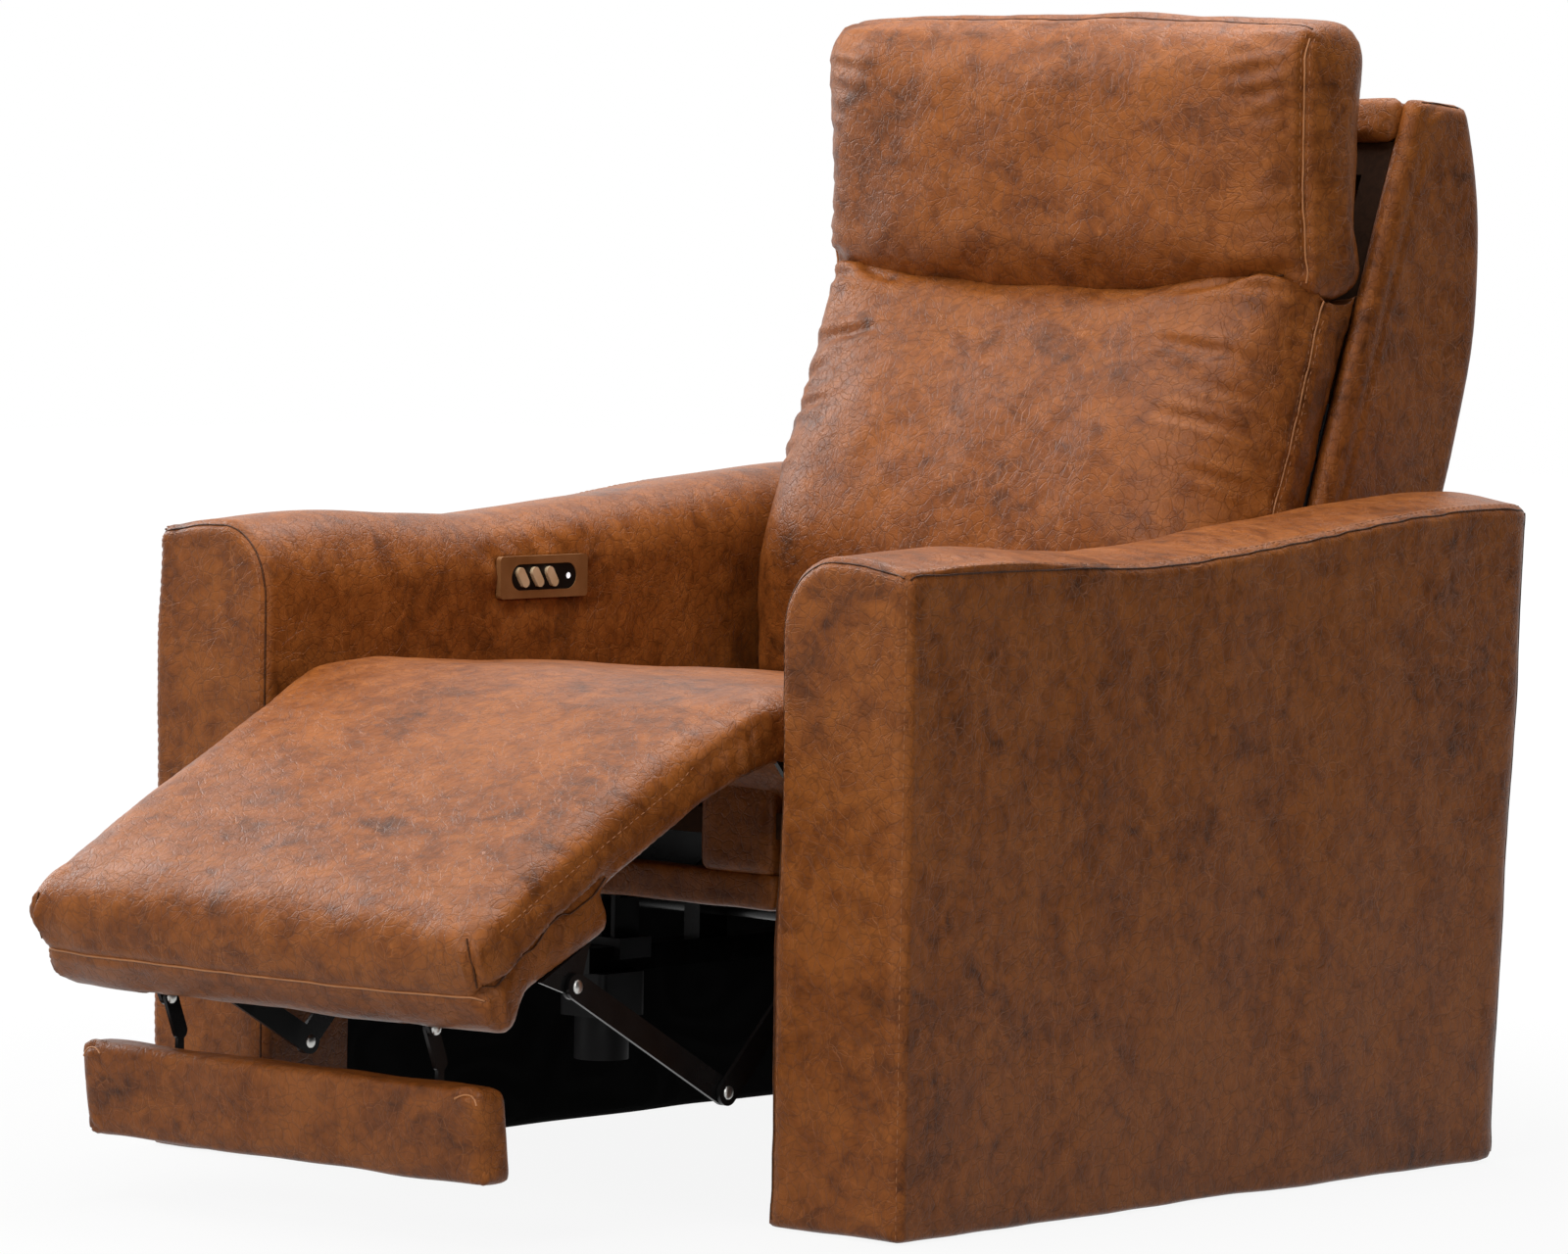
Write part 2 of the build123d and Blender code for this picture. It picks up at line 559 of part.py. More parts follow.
ear = 2 * FLAP_PIN_RADIUS
link_bracket_outline = polygon((LINK_PIVOT_U - 3 * BAR_HALF_WIDTH, board_under),
                               (LINK_PIVOT_U + 3 * BAR_HALF_WIDTH, board_under),
                               (LINK_PIVOT_U + BAR_HALF_WIDTH, LINK_PIVOT_N),
                               (LINK_PIVOT_U - BAR_HALF_WIDTH, LINK_PIVOT_N))
link_bracket_outline += disc(LINK_PIVOT_U, LINK_PIVOT_N, BAR_HALF_WIDTH)
link_bracket_outline -= disc(LINK_PIVOT_U, LINK_PIVOT_N, PIN_RADIUS + RUNNING_CLEARANCE)
link_bracket = slab(FOOT, link_bracket_outline, LINK_BRACKET_X, LINK_BRACKET_X + BAR_THICKNESS)
flap_ear_outline = rectangle(FLAP_PIVOT_U - ear, FLAP_PIVOT_N, FLAP_PIVOT_U + ear, board_under)
flap_ear_outline += disc(FLAP_PIVOT_U, FLAP_PIVOT_N, ear)
flap_ear_outline -= disc(FLAP_PIVOT_U, FLAP_PIVOT_N, FLAP_PIN_RADIUS + RUNNING_CLEARANCE)
flap_ear_inner = FLAP_ARM_X + BAR_THICKNESS + BAR_GAP
flap_ear = slab(FOOT, flap_ear_outline, flap_ear_inner, flap_ear_inner + BAR_THICKNESS)
keep("footrest_brackets", group(pair(link_bracket) + pair(flap_ear)))

# Flap: hangs straight down in this pose from its two arms
flap_step = Vector(*(FOOT.from_local_coords((FLAP_PIVOT_U, FLAP_PIVOT_N, 0))))
FLAP = side_plane(flap_step.Y, flap_step.Z, 0)
flap_top = -FLAP_HANG
flap_bottom = flap_top - FLAP_LENGTH
flap_back = FLAP_THICKNESS - FLAP_FRONT
flap_shares = (0.0, 0.12, 0.5, 0.88, 1.0)
flap_tuck = (5.0, 1.0, 0.0, 1.0, 5.0)
flap_swell = (-5.0, 0.0, 3.0, 0.0, -5.0)
flap_sections = []
for share, tuck, swell in zip(flap_shares, flap_tuck, flap_swell):
    plane = Plane(origin=(0, flap_step.Y, flap_step.Z + flap_top - FLAP_LENGTH * share), x_dir=X_AXIS,
                  z_dir=(0, 0, -1))
    flap_sections.append(pillow(plane, FLAP_HALF_WIDTH - tuck, -flap_back, FLAP_FRONT - 4 + swell,
                                FLAP_FRONT + swell, 2))
keep("flap_panel", loft(flap_sections))
flap_arm_back = flap_back + BAR_THICKNESS
flap_arm_outline = bar(0, 0, flap_arm_back, -2 * FLAP_ARM_WIDTH, FLAP_ARM_WIDTH / 2)
flap_arm_outline += rectangle(flap_back, flap_bottom + FLAP_ARM_WIDTH, flap_back + FLAP_ARM_WIDTH / 2,
                              flap_top + 2 * FLAP_ARM_WIDTH)
flap_arm_outline -= rectangle(-ARM_DEPTH, flap_bottom, flap_back, flap_top)
flap_arm = slab(FLAP, flap_arm_outline, FLAP_ARM_X, FLAP_ARM_X + BAR_THICKNESS)
flap_arm += slab(FLAP, disc(0, 0, FLAP_PIN_RADIUS), FLAP_ARM_X, flap_ear_inner + BAR_THICKNESS)
keep("flap_arms", group(pair(flap_arm)))

# Lift linkage: cranks on a torque tube, links that keep their direction
link_pivot = Vector(*(FOOT.from_local_coords((LINK_PIVOT_U, LINK_PIVOT_N, 0))))
elbow_y = link_pivot.Y + TUBE_Y - KNEE_Y
elbow_z = link_pivot.Z + TUBE_Z - KNEE_Z
tube_hole = TUBE_RADIUS + RUNNING_CLEARANCE
pin_hole = PIN_RADIUS + RUNNING_CLEARANCE
tube_outline = disc(TUBE_Y, TUBE_Z, TUBE_RADIUS)
tube_ring = tube_outline - disc(TUBE_Y, TUBE_Z, TUBE_RADIUS - TUBE_WALL)
keep("torque_tube", slab(LEVEL, tube_ring, -RAIL_INNER, RAIL_INNER))
crank_outline = bar(TUBE_Y, TUBE_Z, elbow_y, elbow_z, BAR_HALF_WIDTH)
crank_outline += disc(TUBE_Y, TUBE_Z, TUBE_RADIUS + BAR_HALF_WIDTH / 2)
crank_outline -= tube_outline
crank_outline -= disc(elbow_y, elbow_z, pin_hole)
keep("lift_cranks", group(pair(slab(LEVEL, crank_outline, CRANK_X, CRANK_X + BAR_THICKNESS))))
link_outline = bar(link_pivot.Y, link_pivot.Z, elbow_y, elbow_z, BAR_HALF_WIDTH)
lift_link = slab(LEVEL, link_outline, LINK_X, LINK_X + BAR_THICKNESS)
lift_link += slab(LEVEL, disc(elbow_y, elbow_z, PIN_RADIUS), LINK_X, CRANK_X + BAR_THICKNESS)
lift_link += slab(LEVEL, disc(link_pivot.Y, link_pivot.Z, PIN_RADIUS), LINK_BRACKET_X, LINK_X)
keep("lift_links", group(pair(lift_link)))

drive_tilt = (FOOT_CLOSING - FOOT_OPENING) / 2
drive_pin_y = TUBE_Y - DRIVE_ARM * math.sin(math.radians(drive_tilt))
drive_pin_z = TUBE_Z - DRIVE_ARM * math.cos(math.radians(drive_tilt))
drive_pin_high = TUBE_Z - DRIVE_ARM * math.cos(math.radians((FOOT_CLOSING + FOOT_OPENING) / 2))


def crank_with_pin(y, z, hub, pin_y, pin_z, x_middle):
    """A centre crank plate on a tube, with a cross pin that works in a drive fork."""
    outline = bar(y, z, pin_y, pin_z, 2 * DRIVE_PIN_RADIUS) + disc(y, z, hub + 2 * DRIVE_PIN_RADIUS)
    outline -= disc(y, z, hub)
    half = DRIVE_ARM_THICKNESS / 2
    pin_half = FORK_GAP + FORK_PLATE
    solid = slab(LEVEL, outline, x_middle - half, x_middle + half)
    return solid + slab(LEVEL, disc(pin_y, pin_z, DRIVE_PIN_RADIUS), x_middle - pin_half, x_middle + pin_half)


def track_with_nut(pin_y, pin_low, pin_high, track_top, front, rear, x_middle):
    """A drive track and the nut on it, whose fork holds a crank's pin as it rises and falls."""
    half = TRACK_WIDTH / 2
    track = box(x_middle - half, x_middle + half, front, rear, track_top - TRACK_HEIGHT, track_top)
    nut_half = half + NUT_WALL
    nut_bottom = track_top - TRACK_HEIGHT / 2
    nut_top = track_top + NUT_WALL
    nut_front = pin_y - NUT_LENGTH / 2
    nut_rear = nut_front + NUT_LENGTH
    nut = box(x_middle - nut_half, x_middle + nut_half, nut_front, nut_rear, nut_bottom, nut_top)
    room = half + TRACK_CLEARANCE
    nut -= box(x_middle - room, x_middle + room, nut_front, nut_rear, nut_bottom, track_top + TRACK_CLEARANCE)
    slot_half = DRIVE_PIN_RADIUS + FORK_CLEARANCE
    fork_half = slot_half + NUT_WALL
    fork_top = pin_high + 2 * DRIVE_PIN_RADIUS
    fork = rectangle(pin_y - fork_half, nut_top, pin_y + fork_half, fork_top)
    fork -= rectangle(pin_y - slot_half, pin_low - slot_half, pin_y + slot_half, fork_top)
    for sign in (-1, 1):
        start = x_middle + min(sign * FORK_GAP, sign * (FORK_GAP + FORK_PLATE))
        nut += slab(LEVEL, fork, start, start + FORK_PLATE)
    return track, nut


keep("drive_crank", crank_with_pin(TUBE_Y, TUBE_Z, TUBE_RADIUS, drive_pin_y, drive_pin_z, FOOT_DRIVE_X))
foot_track, foot_nut = track_with_nut(drive_pin_y, TUBE_Z - DRIVE_ARM, drive_pin_high, FOOT_TRACK_TOP,
                                      FOOT_TRACK_FRONT, FOOT_TRACK_REAR, FOOT_DRIVE_X)
keep("footrest_track", foot_track)
keep("footrest_nut", foot_nut)


def motor(x_middle, y_front, length, top):
    """A gear motor: a rounded housing with a round motor can hanging from it."""
    half = MOTOR_WIDTH / 2
    gear_height = MOTOR_HEIGHT / 2
    y_middle = y_front + length / 2
    housing = Pos(x_middle, y_middle, top - gear_height / 2) * Box(MOTOR_WIDTH, length, gear_height)
    housing = fillet(housing.edges().filter_by(Axis.Z), MOTOR_WIDTH / 8)
    can = Pos(x_middle, y_middle, top - 1.5 * gear_height) * Cylinder(0.9 * half, gear_height)
    return housing + can


foot_track_under = FOOT_TRACK_TOP - TRACK_HEIGHT
back_track_under = BACK_TRACK_TOP - TRACK_HEIGHT
keep("footrest_motor", motor(FOOT_DRIVE_X, MOTOR_Y, MOTOR_LENGTH, foot_track_under))

# Side plates, cross tubes and the hangers of the two base drives
back_pivot = disc(BACK_Y, BACK_Z, TUBE_RADIUS)
cross_tubes = []
plate_front = TUBE_Y - 3 * TUBE_RADIUS
plate_outline = polygon((plate_front, RAIL_TOP), (plate_front, TUBE_Z - 2 * TUBE_RADIUS),
                        (FRONT_CROSS_TUBE_Y - 2 * TUBE_RADIUS, CROSS_TUBE_Z - 2 * TUBE_RADIUS),
                        (REAR_CROSS_TUBE_Y + 2 * TUBE_RADIUS, CROSS_TUBE_Z - 2 * TUBE_RADIUS),
                        (RAIL_REAR, RAIL_BOTTOM), (BACK_Y, BACK_Z - PIVOT_EAR), (BACK_Y, BACK_Z + PIVOT_EAR),
                        (SEAT_REAR, RAIL_TOP))
plate_outline += disc(BACK_Y, BACK_Z, PIVOT_EAR)
plate_outline -= disc(TUBE_Y, TUBE_Z, tube_hole)
plate_outline -= disc(BACK_Y, BACK_Z, tube_hole)
for cross_y in (FRONT_CROSS_TUBE_Y, REAR_CROSS_TUBE_Y):
    outline = disc(cross_y, CROSS_TUBE_Z, TUBE_RADIUS)
    plate_outline -= outline
    ring = outline - disc(cross_y, CROSS_TUBE_Z, TUBE_RADIUS - TUBE_WALL)
    cross_tubes.append(slab(LEVEL, ring, -RAIL_INNER, RAIL_INNER))
keep("side_plates", group(pair(slab(LEVEL, plate_outline, PLATE_INNER, RAIL_INNER) - bolt_holes)))
keep("cross_tubes", group(cross_tubes))
hangers = []
for cross_y, track_top, drive_x in ((FRONT_CROSS_TUBE_Y, FOOT_TRACK_TOP, FOOT_DRIVE_X),
                                    (REAR_CROSS_TUBE_Y, FOOT_TRACK_TOP, FOOT_DRIVE_X),
                                    (REAR_CROSS_TUBE_Y, BACK_TRACK_TOP, BACK_DRIVE_X)):
    outline = bar(cross_y, CROSS_TUBE_Z, cross_y, track_top, 1.6 * TUBE_RADIUS)
    outline -= disc(cross_y, CROSS_TUBE_Z, TUBE_RADIUS)
    outline -= rectangle(cross_y - 2 * TUBE_RADIUS, 0, cross_y + 2 * TUBE_RADIUS, track_top)
    hangers.append(slab(LEVEL, outline, drive_x - TRACK_WIDTH / 3, drive_x + TRACK_WIDTH / 3))
back_hanger = box(BACK_DRIVE_X - TRACK_WIDTH / 3, BACK_DRIVE_X + TRACK_WIDTH / 3,
                  SEAT_REAR - CROSS_RAIL_DEPTH, SEAT_REAR, BACK_TRACK_TOP, rail_underside)
keep("drive_hangers", group(hangers + [back_hanger]))

# Back drive
back_tilt = math.radians((BACK_UPRIGHT - BACK_RECLINE) / 2)
back_pin_y = BACK_Y - BACK_DRIVE_ARM * math.sin(back_tilt)
back_pin_z = BACK_Z - BACK_DRIVE_ARM * math.cos(back_tilt)
back_pin_high = BACK_Z - BACK_DRIVE_ARM * math.cos(math.radians((BACK_UPRIGHT + BACK_RECLINE) / 2))
back_track, back_nut = track_with_nut(back_pin_y, BACK_Z - BACK_DRIVE_ARM, back_pin_high, BACK_TRACK_TOP,
                                      BACK_TRACK_FRONT, BACK_TRACK_REAR, BACK_DRIVE_X)
keep("back_track", back_track)
keep("back_nut", back_nut)
keep("back_motor", motor(BACK_DRIVE_X, BACK_TRACK_FRONT, BACK_MOTOR_LENGTH, back_track_under))
back_crank = crank_with_pin(BACK_Y, BACK_Z, TUBE_RADIUS, back_pin_y, back_pin_z, BACK_DRIVE_X)
keep("back_pivot_tube", slab(LEVEL, back_pivot - disc(BACK_Y, BACK_Z, TUBE_RADIUS - TUBE_WALL),
                             -RAIL_INNER, RAIL_INNER))

# Back frame, brackets, webbing, wings and outside panel
post_front = WING_FRONT + BACK_STRAP
wing_inner = WING_OUTER - WING_THICKNESS
post_inner = wing_inner - POST_WIDTH
post_rear = post_front + POST_DEPTH
post = slab(BACK, rectangle(post_front, POST_BOTTOM, post_rear, POST_TOP), post_inner, wing_inner)
back_rails = []
for rail_s in BACK_RAILS:
    outline = rectangle(post_front, rail_s, post_rear, rail_s + BACK_RAIL_HEIGHT)
    back_rails.append(slab(BACK, outline, -post_inner, post_inner))
bracket_x = post_inner - BACK_BRACKET_THICKNESS
back_bracket_outline = polygon((-1.8 * TUBE_RADIUS, 0), (1.8 * TUBE_RADIUS, 0),
                               (post_rear, POST_BOTTOM), (post_rear, BACK_RAILS[0]),
                               (post_front, BACK_RAILS[0]))
back_bracket_outline += disc(0, 0, 1.8 * TUBE_RADIUS)
back_bracket_outline += rectangle(post_front, POST_BOTTOM, post_rear, BACK_RAILS[0])
back_bracket_outline -= disc(0, 0, TUBE_RADIUS)
keep("back_frame", group(pair(post) + back_rails))
back_brackets = pair(slab(BACK, back_bracket_outline, bracket_x, post_inner))
keep("back_brackets", group(back_brackets + [back_crank]))
back_straps = []
for strap_s in BACK_STRAPS:
    outline = rectangle(WING_FRONT, strap_s, post_front, strap_s + WEBBING_WIDTH)
    back_straps.append(slab(BACK, outline, -wing_inner, wing_inner))
keep("back_webbing", group(back_straps))


def back_outline(inset, bottom, front):
    """The side outline of the back: straight, then rounding over to its top."""
    rear = WING_FRONT + WING_DEPTH - inset
    top_rear = (WING_FRONT + WING_TOP_DEPTH - inset / 2, WING_TOP_REAR - inset)
    top_front = (front, WING_TOP_FRONT - inset)
    knee = (rear, WING_STRAIGHT)
    belly = (rear - 0.125 * WING_DEPTH, WING_STRAIGHT + 0.56 * (WING_TOP_REAR - WING_STRAIGHT))
    edges = [
        Line((front, bottom), (rear, bottom)),
        Line((rear, bottom), knee),
        ThreePointArc(knee, belly, top_rear),
        Line(top_rear, top_front),
        Line(top_front, (front, bottom)),
    ]
    return make_face(edges)


wing_outline = back_outline(0, PANEL_BOTTOM, WING_FRONT)
wing_outline -= polygon((WING_FRONT, PANEL_BOTTOM), (WING_FRONT + WING_DEPTH / 2, PANEL_BOTTOM),
                        (WING_FRONT, WING_BOTTOM))
wing = slab(BACK, wing_outline, wing_inner, WING_OUTER)
wing = fillet(wing.faces().sort_by(Axis.X)[-1].edges(), WING_EDGE_RADIUS)
keep("back_wings", group(pair(wing)))
outside_panel = slab(BACK, back_outline(0, PANEL_BOTTOM, WING_FRONT), -wing_inner, wing_inner)
outside_panel -= slab(BACK, back_outline(PANEL_THICKNESS, 2 * PANEL_BOTTOM, WING_FRONT - PANEL_THICKNESS),
                      -wing_inner, wing_inner)
keep("outside_back_panel", outside_panel)

# Back cushion: a crowned pillow that ends in a hollow round the headrest's roll
def back_section(along, fullness, half):
    boxing = WING_FRONT - BACK_BOXING
    plane = upward(BACK, along)
    front = WING_FRONT - (BACK_BOXING + (BACK_CROWN + WING_FRONT - BACK_BOXING) * fullness)
    shoulder_x = half - 0.3 * BACK_CUSHION_HALF
    shoulder_b = front + BACK_SHOULDER
    side_b = (boxing + front) / 2 - 0.22 * (boxing - front)
    edges = [
        Line((-half, WING_FRONT), (half, WING_FRONT)),
        Line((half, WING_FRONT), (half, boxing)),
        ThreePointArc((half, boxing), (half - 0.12 * BACK_CUSHION_HALF, side_b), (shoulder_x, shoulder_b)),
        ThreePointArc((shoulder_x, shoulder_b), (0, front), (-shoulder_x, shoulder_b)),
        ThreePointArc((-shoulder_x, shoulder_b), (-half + 0.12 * BACK_CUSHION_HALF, side_b), (-half, boxing)),
        Line((-half, boxing), (-half, WING_FRONT)),
    ]
    return plane * make_face(edges)


back_rise = BACK_CUSHION_TOP - BACK_CUSHION_BOTTOM
back_shares = (0.0, 0.12, 0.4, 0.7, 0.9, 1.0)
back_fullness = (0.45, 0.75, 1.0, 0.98, 0.9, 0.72)
back_tuck = (14, 8, 3, 2, 1, 2)
back_sections = []
for share, fullness, tuck in zip(back_shares, back_fullness, back_tuck):
    along = BACK_CUSHION_BOTTOM + back_rise * share
    back_sections.append(back_section(along, fullness, BACK_CUSHION_HALF - tuck))
back_cushion = loft(back_sections)
for bracket in back_brackets:
    back_cushion -= bracket
back_cushion -= slab(LEVEL, disc(HEAD_Y, HEAD_Z, HEAD_ROLL + HEAD_CLEARANCE), -WING_OUTER, WING_OUTER)

# Headrest: cushion with a roll at its foot, board, rod, arms and lever
head_centre = BACK.to_local_coords(Vector(0, HEAD_Y, HEAD_Z))
HEAD_B = head_centre.X
HEAD_S = head_centre.Y
bracket_half = HEAD_PLATE / 2
board_front = HEAD_ROLL - HEAD_BOARD_THICKNESS
board_low = HEAD_ROLL + HEAD_BOARD_THICKNESS / 2
board_high = HEAD_HEIGHT - 2 * HEAD_BOARD_THICKNESS


def head_section(along, swell, tuck, thin):
    plane = upward(HEAD, along)
    half = HEAD_HALF_WIDTH - tuck
    front = -HEAD_ROLL - swell + thin
    rear = board_front - thin / 2
    shoulder = front + 8
    edges = [
        Line((half, rear), (-half, rear)),
        ThreePointArc((-half, rear), (-half - 4, (rear + shoulder) / 2), (-half, shoulder)),
        ThreePointArc((-half, shoulder), (0, front), (half, shoulder)),
        ThreePointArc((half, shoulder), (half + 4, (rear + shoulder) / 2), (half, rear)),
    ]
    return plane * make_face(edges)


head_shares = (0.0, 0.12, 0.35, 0.65, 0.9, 1.0)
head_swell = (0.0, 0.1, 0.9, 1.0, 0.3, 0.0)
head_tuck = (6, 5, 2, 1, 3, 10)
head_thin = (0, 0, 0, 0, 4, 20)
head_sections = []
for share, swell, tuck, thin in zip(head_shares, head_swell, head_tuck, head_thin):
    head_sections.append(head_section(HEAD_HEIGHT * share, HEAD_CROWN * swell, tuck, thin))
head_cushion = loft(head_sections)
head_half = HEAD_HALF_WIDTH - 6
head_cushion += slab(HEAD, disc(0, 0, HEAD_ROLL), -head_half, head_half)
head_sweep = HEAD_ROLL * math.tan(math.radians(HEAD_FORWARD)) + 3 * HEAD_ROD_RADIUS
swept_room = rectangle(-3 * HEAD_ROD_RADIUS, -1.2 * HEAD_ROLL, 2 * HEAD_ROLL, head_sweep)
slot_half = bracket_half + 2 * HEAD_CLEARANCE
for slot in pair(slab(HEAD, swept_room, HEAD_BRACKET_X - slot_half, HEAD_BRACKET_X + slot_half)):
    head_cushion -= slot
rod_reach = HEAD_BRACKET_X + HEAD_PLATE
rod = slab(HEAD, disc(0, 0, HEAD_ROD_RADIUS), -rod_reach, rod_reach)
eye = 2.2 * HEAD_ROD_RADIUS
head_arm_outline = disc(0, 0, eye) + bar(0, 0, HEAD_ROLL + eye, 0, eye)
head_arm_outline += rectangle(HEAD_ROLL, 0, HEAD_ROLL + HEAD_PLATE, board_high)
head_arm_outline -= disc(0, 0, HEAD_ROD_RADIUS)
head_arm = slab(HEAD, head_arm_outline, HEAD_ARM_X - bracket_half, HEAD_ARM_X + bracket_half)
lever_half = DRIVE_ARM_THICKNESS / 2
lever_end = (head_centre.X + HEAD_LEVER, HEAD_S)
lever_body = bar(HEAD_B, HEAD_S, HEAD_B + HEAD_LEVER, HEAD_S, eye) - disc(HEAD_B, HEAD_S, HEAD_ROD_RADIUS)
lever = slab(BACK, lever_body, -lever_half, lever_half)
pin_half = FORK_GAP + FORK_PLATE
lever += slab(BACK, disc(*lever_end, DRIVE_PIN_RADIUS), -pin_half, pin_half)
board_half = HEAD_HALF_WIDTH - 2 * HEAD_ROLL / 3
head_board = slab(HEAD, rectangle(board_front, board_low, HEAD_ROLL, board_high), -board_half, board_half)
for piece in pair(head_arm) + [rod, lever, head_board]:
    head_cushion -= piece
keep("headrest_cushion", head_cushion)
keep("headrest_board", head_board)
keep("headrest_rod", rod)
keep("headrest_arms", group(pair(head_arm) + [lever]))

mid_rail_top = BACK_RAILS[1] + BACK_RAIL_HEIGHT
post_middle = post_front + POST_DEPTH / 2
head_bracket_outline = polygon((HEAD_B - eye, HEAD_S), (HEAD_B + eye, HEAD_S),
                               (post_middle, mid_rail_top + eye), (post_middle, mid_rail_top),
                               (post_front, mid_rail_top))
head_bracket_outline += disc(HEAD_B, HEAD_S, eye)
head_bracket_outline -= disc(HEAD_B, HEAD_S, HEAD_ROD_RADIUS + RUNNING_CLEARANCE)
head_bracket = slab(BACK, head_bracket_outline, HEAD_BRACKET_X - bracket_half, HEAD_BRACKET_X + bracket_half)
keep("headrest_hinge_brackets", group(pair(head_bracket)))
cushion_slot = rectangle(HEAD_B - HEAD_ROLL, BACK_RAILS[1], WING_FRONT + POST_DEPTH, HEAD_S + HEAD_ROLL)
for slot in pair(slab(BACK, cushion_slot, HEAD_BRACKET_X - slot_half, HEAD_BRACKET_X + slot_half)):
    back_cushion -= slot
lever_slot_half = lever_half + 2 * HEAD_CLEARANCE
back_cushion -= slab(BACK, cushion_slot, -lever_slot_half, lever_slot_half)
keep("back_cushion", back_cushion)

# Headrest drive inside the back
head_track_half = HEAD_TRACK_WIDTH / 2
head_track_rear = HEAD_TRACK_B + HEAD_TRACK_DEPTH
track_stop = rectangle(post_rear, BACK_RAILS[1], HEAD_TRACK_B, mid_rail_top)
head_track = slab(BACK, rectangle(HEAD_TRACK_B, HEAD_TRACK_BOTTOM, head_track_rear, HEAD_TRACK_TOP),
                  -head_track_half, head_track_half)
head_track += slab(BACK, track_stop, -head_track_half, head_track_half)
keep("headrest_track", head_track)
head_motor = slab(BACK, rectangle(HEAD_TRACK_B - HEAD_TRACK_DEPTH / 2, HEAD_TRACK_BOTTOM - HEAD_MOTOR_LENGTH,
                                  head_track_rear + HEAD_TRACK_DEPTH, HEAD_TRACK_BOTTOM),
                  -2 * head_track_half, 2 * head_track_half)
keep("headrest_motor", head_motor)
head_nut_half = HEAD_PLATE + 2 * DRIVE_PIN_RADIUS
fork_front = lever_end[0] - 3 * DRIVE_PIN_RADIUS
nut_outer = head_track_half + HEAD_PLATE
nut_room = head_track_half + TRACK_CLEARANCE
nut_low = HEAD_S - head_nut_half
nut_high = HEAD_S + head_nut_half
nut_face = HEAD_TRACK_B - HEAD_PLATE
head_nut = slab(BACK, rectangle(nut_face, nut_low, head_track_rear - HEAD_PLATE, nut_high),
                -nut_outer, nut_outer)
head_nut -= slab(BACK, rectangle(HEAD_TRACK_B - TRACK_CLEARANCE, nut_low, head_track_rear, nut_high),
                 -nut_room, nut_room)
fork_slot = DRIVE_PIN_RADIUS + FORK_CLEARANCE / 2
slot_end = lever_end[0] + DRIVE_PIN_RADIUS + FORK_CLEARANCE
fork_outline = rectangle(fork_front, nut_low, nut_face, nut_high)
fork_outline -= rectangle(fork_front, HEAD_S - fork_slot, slot_end, HEAD_S + fork_slot)
for start in (FORK_GAP, -FORK_GAP - FORK_PLATE):
    head_nut += slab(BACK, fork_outline, start, start + FORK_PLATE)
keep("headrest_nut", head_nut)

# Power inlet on the rear base rail
inlet_rear = REAR_RAIL_Y + REAR_RAIL_DEPTH + INLET_DEPTH
inlet_middle = REAR_RAIL_BOTTOM + REAR_RAIL_HEIGHT / 2
inlet_half = INLET_WIDTH / 2
inlet = box(ARM_INNER / 2 - inlet_half, ARM_INNER / 2 + inlet_half, inlet_rear - INLET_DEPTH, inlet_rear,
            inlet_middle - INLET_HEIGHT / 2, inlet_middle + INLET_HEIGHT / 2)
inlet -= Pos(ARM_INNER / 2, inlet_rear, inlet_middle) * Rot(90, 0, 0) * Cylinder(INLET_HOLE, INLET_DEPTH)
keep("power_inlet", inlet)

os.makedirs("parts", exist_ok=True)
to_origin = Pos(0, -BOX_MIDDLE, 0)
for name, shape in parts.items():
    export_step(to_origin * shape, f"parts/{name}.step")
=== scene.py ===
import json
import math

import bmesh
import bpy
import numpy as np
from mathutils import Matrix, Vector
from mathutils.bvhtree import BVHTree


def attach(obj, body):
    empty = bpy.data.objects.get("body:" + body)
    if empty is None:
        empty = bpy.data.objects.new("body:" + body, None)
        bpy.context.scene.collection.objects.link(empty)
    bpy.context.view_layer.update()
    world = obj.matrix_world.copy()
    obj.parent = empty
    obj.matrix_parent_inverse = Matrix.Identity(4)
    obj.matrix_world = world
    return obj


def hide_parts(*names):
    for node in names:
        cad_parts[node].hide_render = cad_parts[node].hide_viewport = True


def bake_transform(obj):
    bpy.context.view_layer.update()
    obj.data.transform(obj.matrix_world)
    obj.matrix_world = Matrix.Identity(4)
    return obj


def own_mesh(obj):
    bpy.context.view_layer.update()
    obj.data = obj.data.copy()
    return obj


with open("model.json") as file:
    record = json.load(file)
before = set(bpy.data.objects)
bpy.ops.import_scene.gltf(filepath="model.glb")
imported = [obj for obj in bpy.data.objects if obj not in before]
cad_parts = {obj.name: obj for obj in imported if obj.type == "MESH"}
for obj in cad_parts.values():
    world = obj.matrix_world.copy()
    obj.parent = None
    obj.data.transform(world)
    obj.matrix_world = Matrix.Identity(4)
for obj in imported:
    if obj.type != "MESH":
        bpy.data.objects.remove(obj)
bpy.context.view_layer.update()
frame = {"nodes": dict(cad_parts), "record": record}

# Lengths are in millimetres. Y is counted from the arm fronts, +Y to the rear, as in the
# part's source, and moved to the shared origin when a mesh is made.
MM = 0.001
ARM_FRONT = 353.08
SIDES = (-1, 1)

# Arms
ARM_INNER = 328.0
ARM_OUTER = 480.0
ARM_DEPTH = 902.0
ARM_LEAN = 41.0
ARM_FOOT = 1.0
ARM_SEAM = 600.0
ARM_RISE = 42.0
ARM_RISE_FROM = 310.0
ARM_RISE_TO = 850.0
ARM_CROWN = 11.0
ARM_ROUND = 64.0
ARM_WIDTH_TOP = ARM_OUTER - ARM_INNER - ARM_ROUND
# The inside of an arm is painted black as shade under the seat: from this far back, up to this height
SHADE_LINING_FROM = 120.0
SHADE_LINING_TOP = 345.0
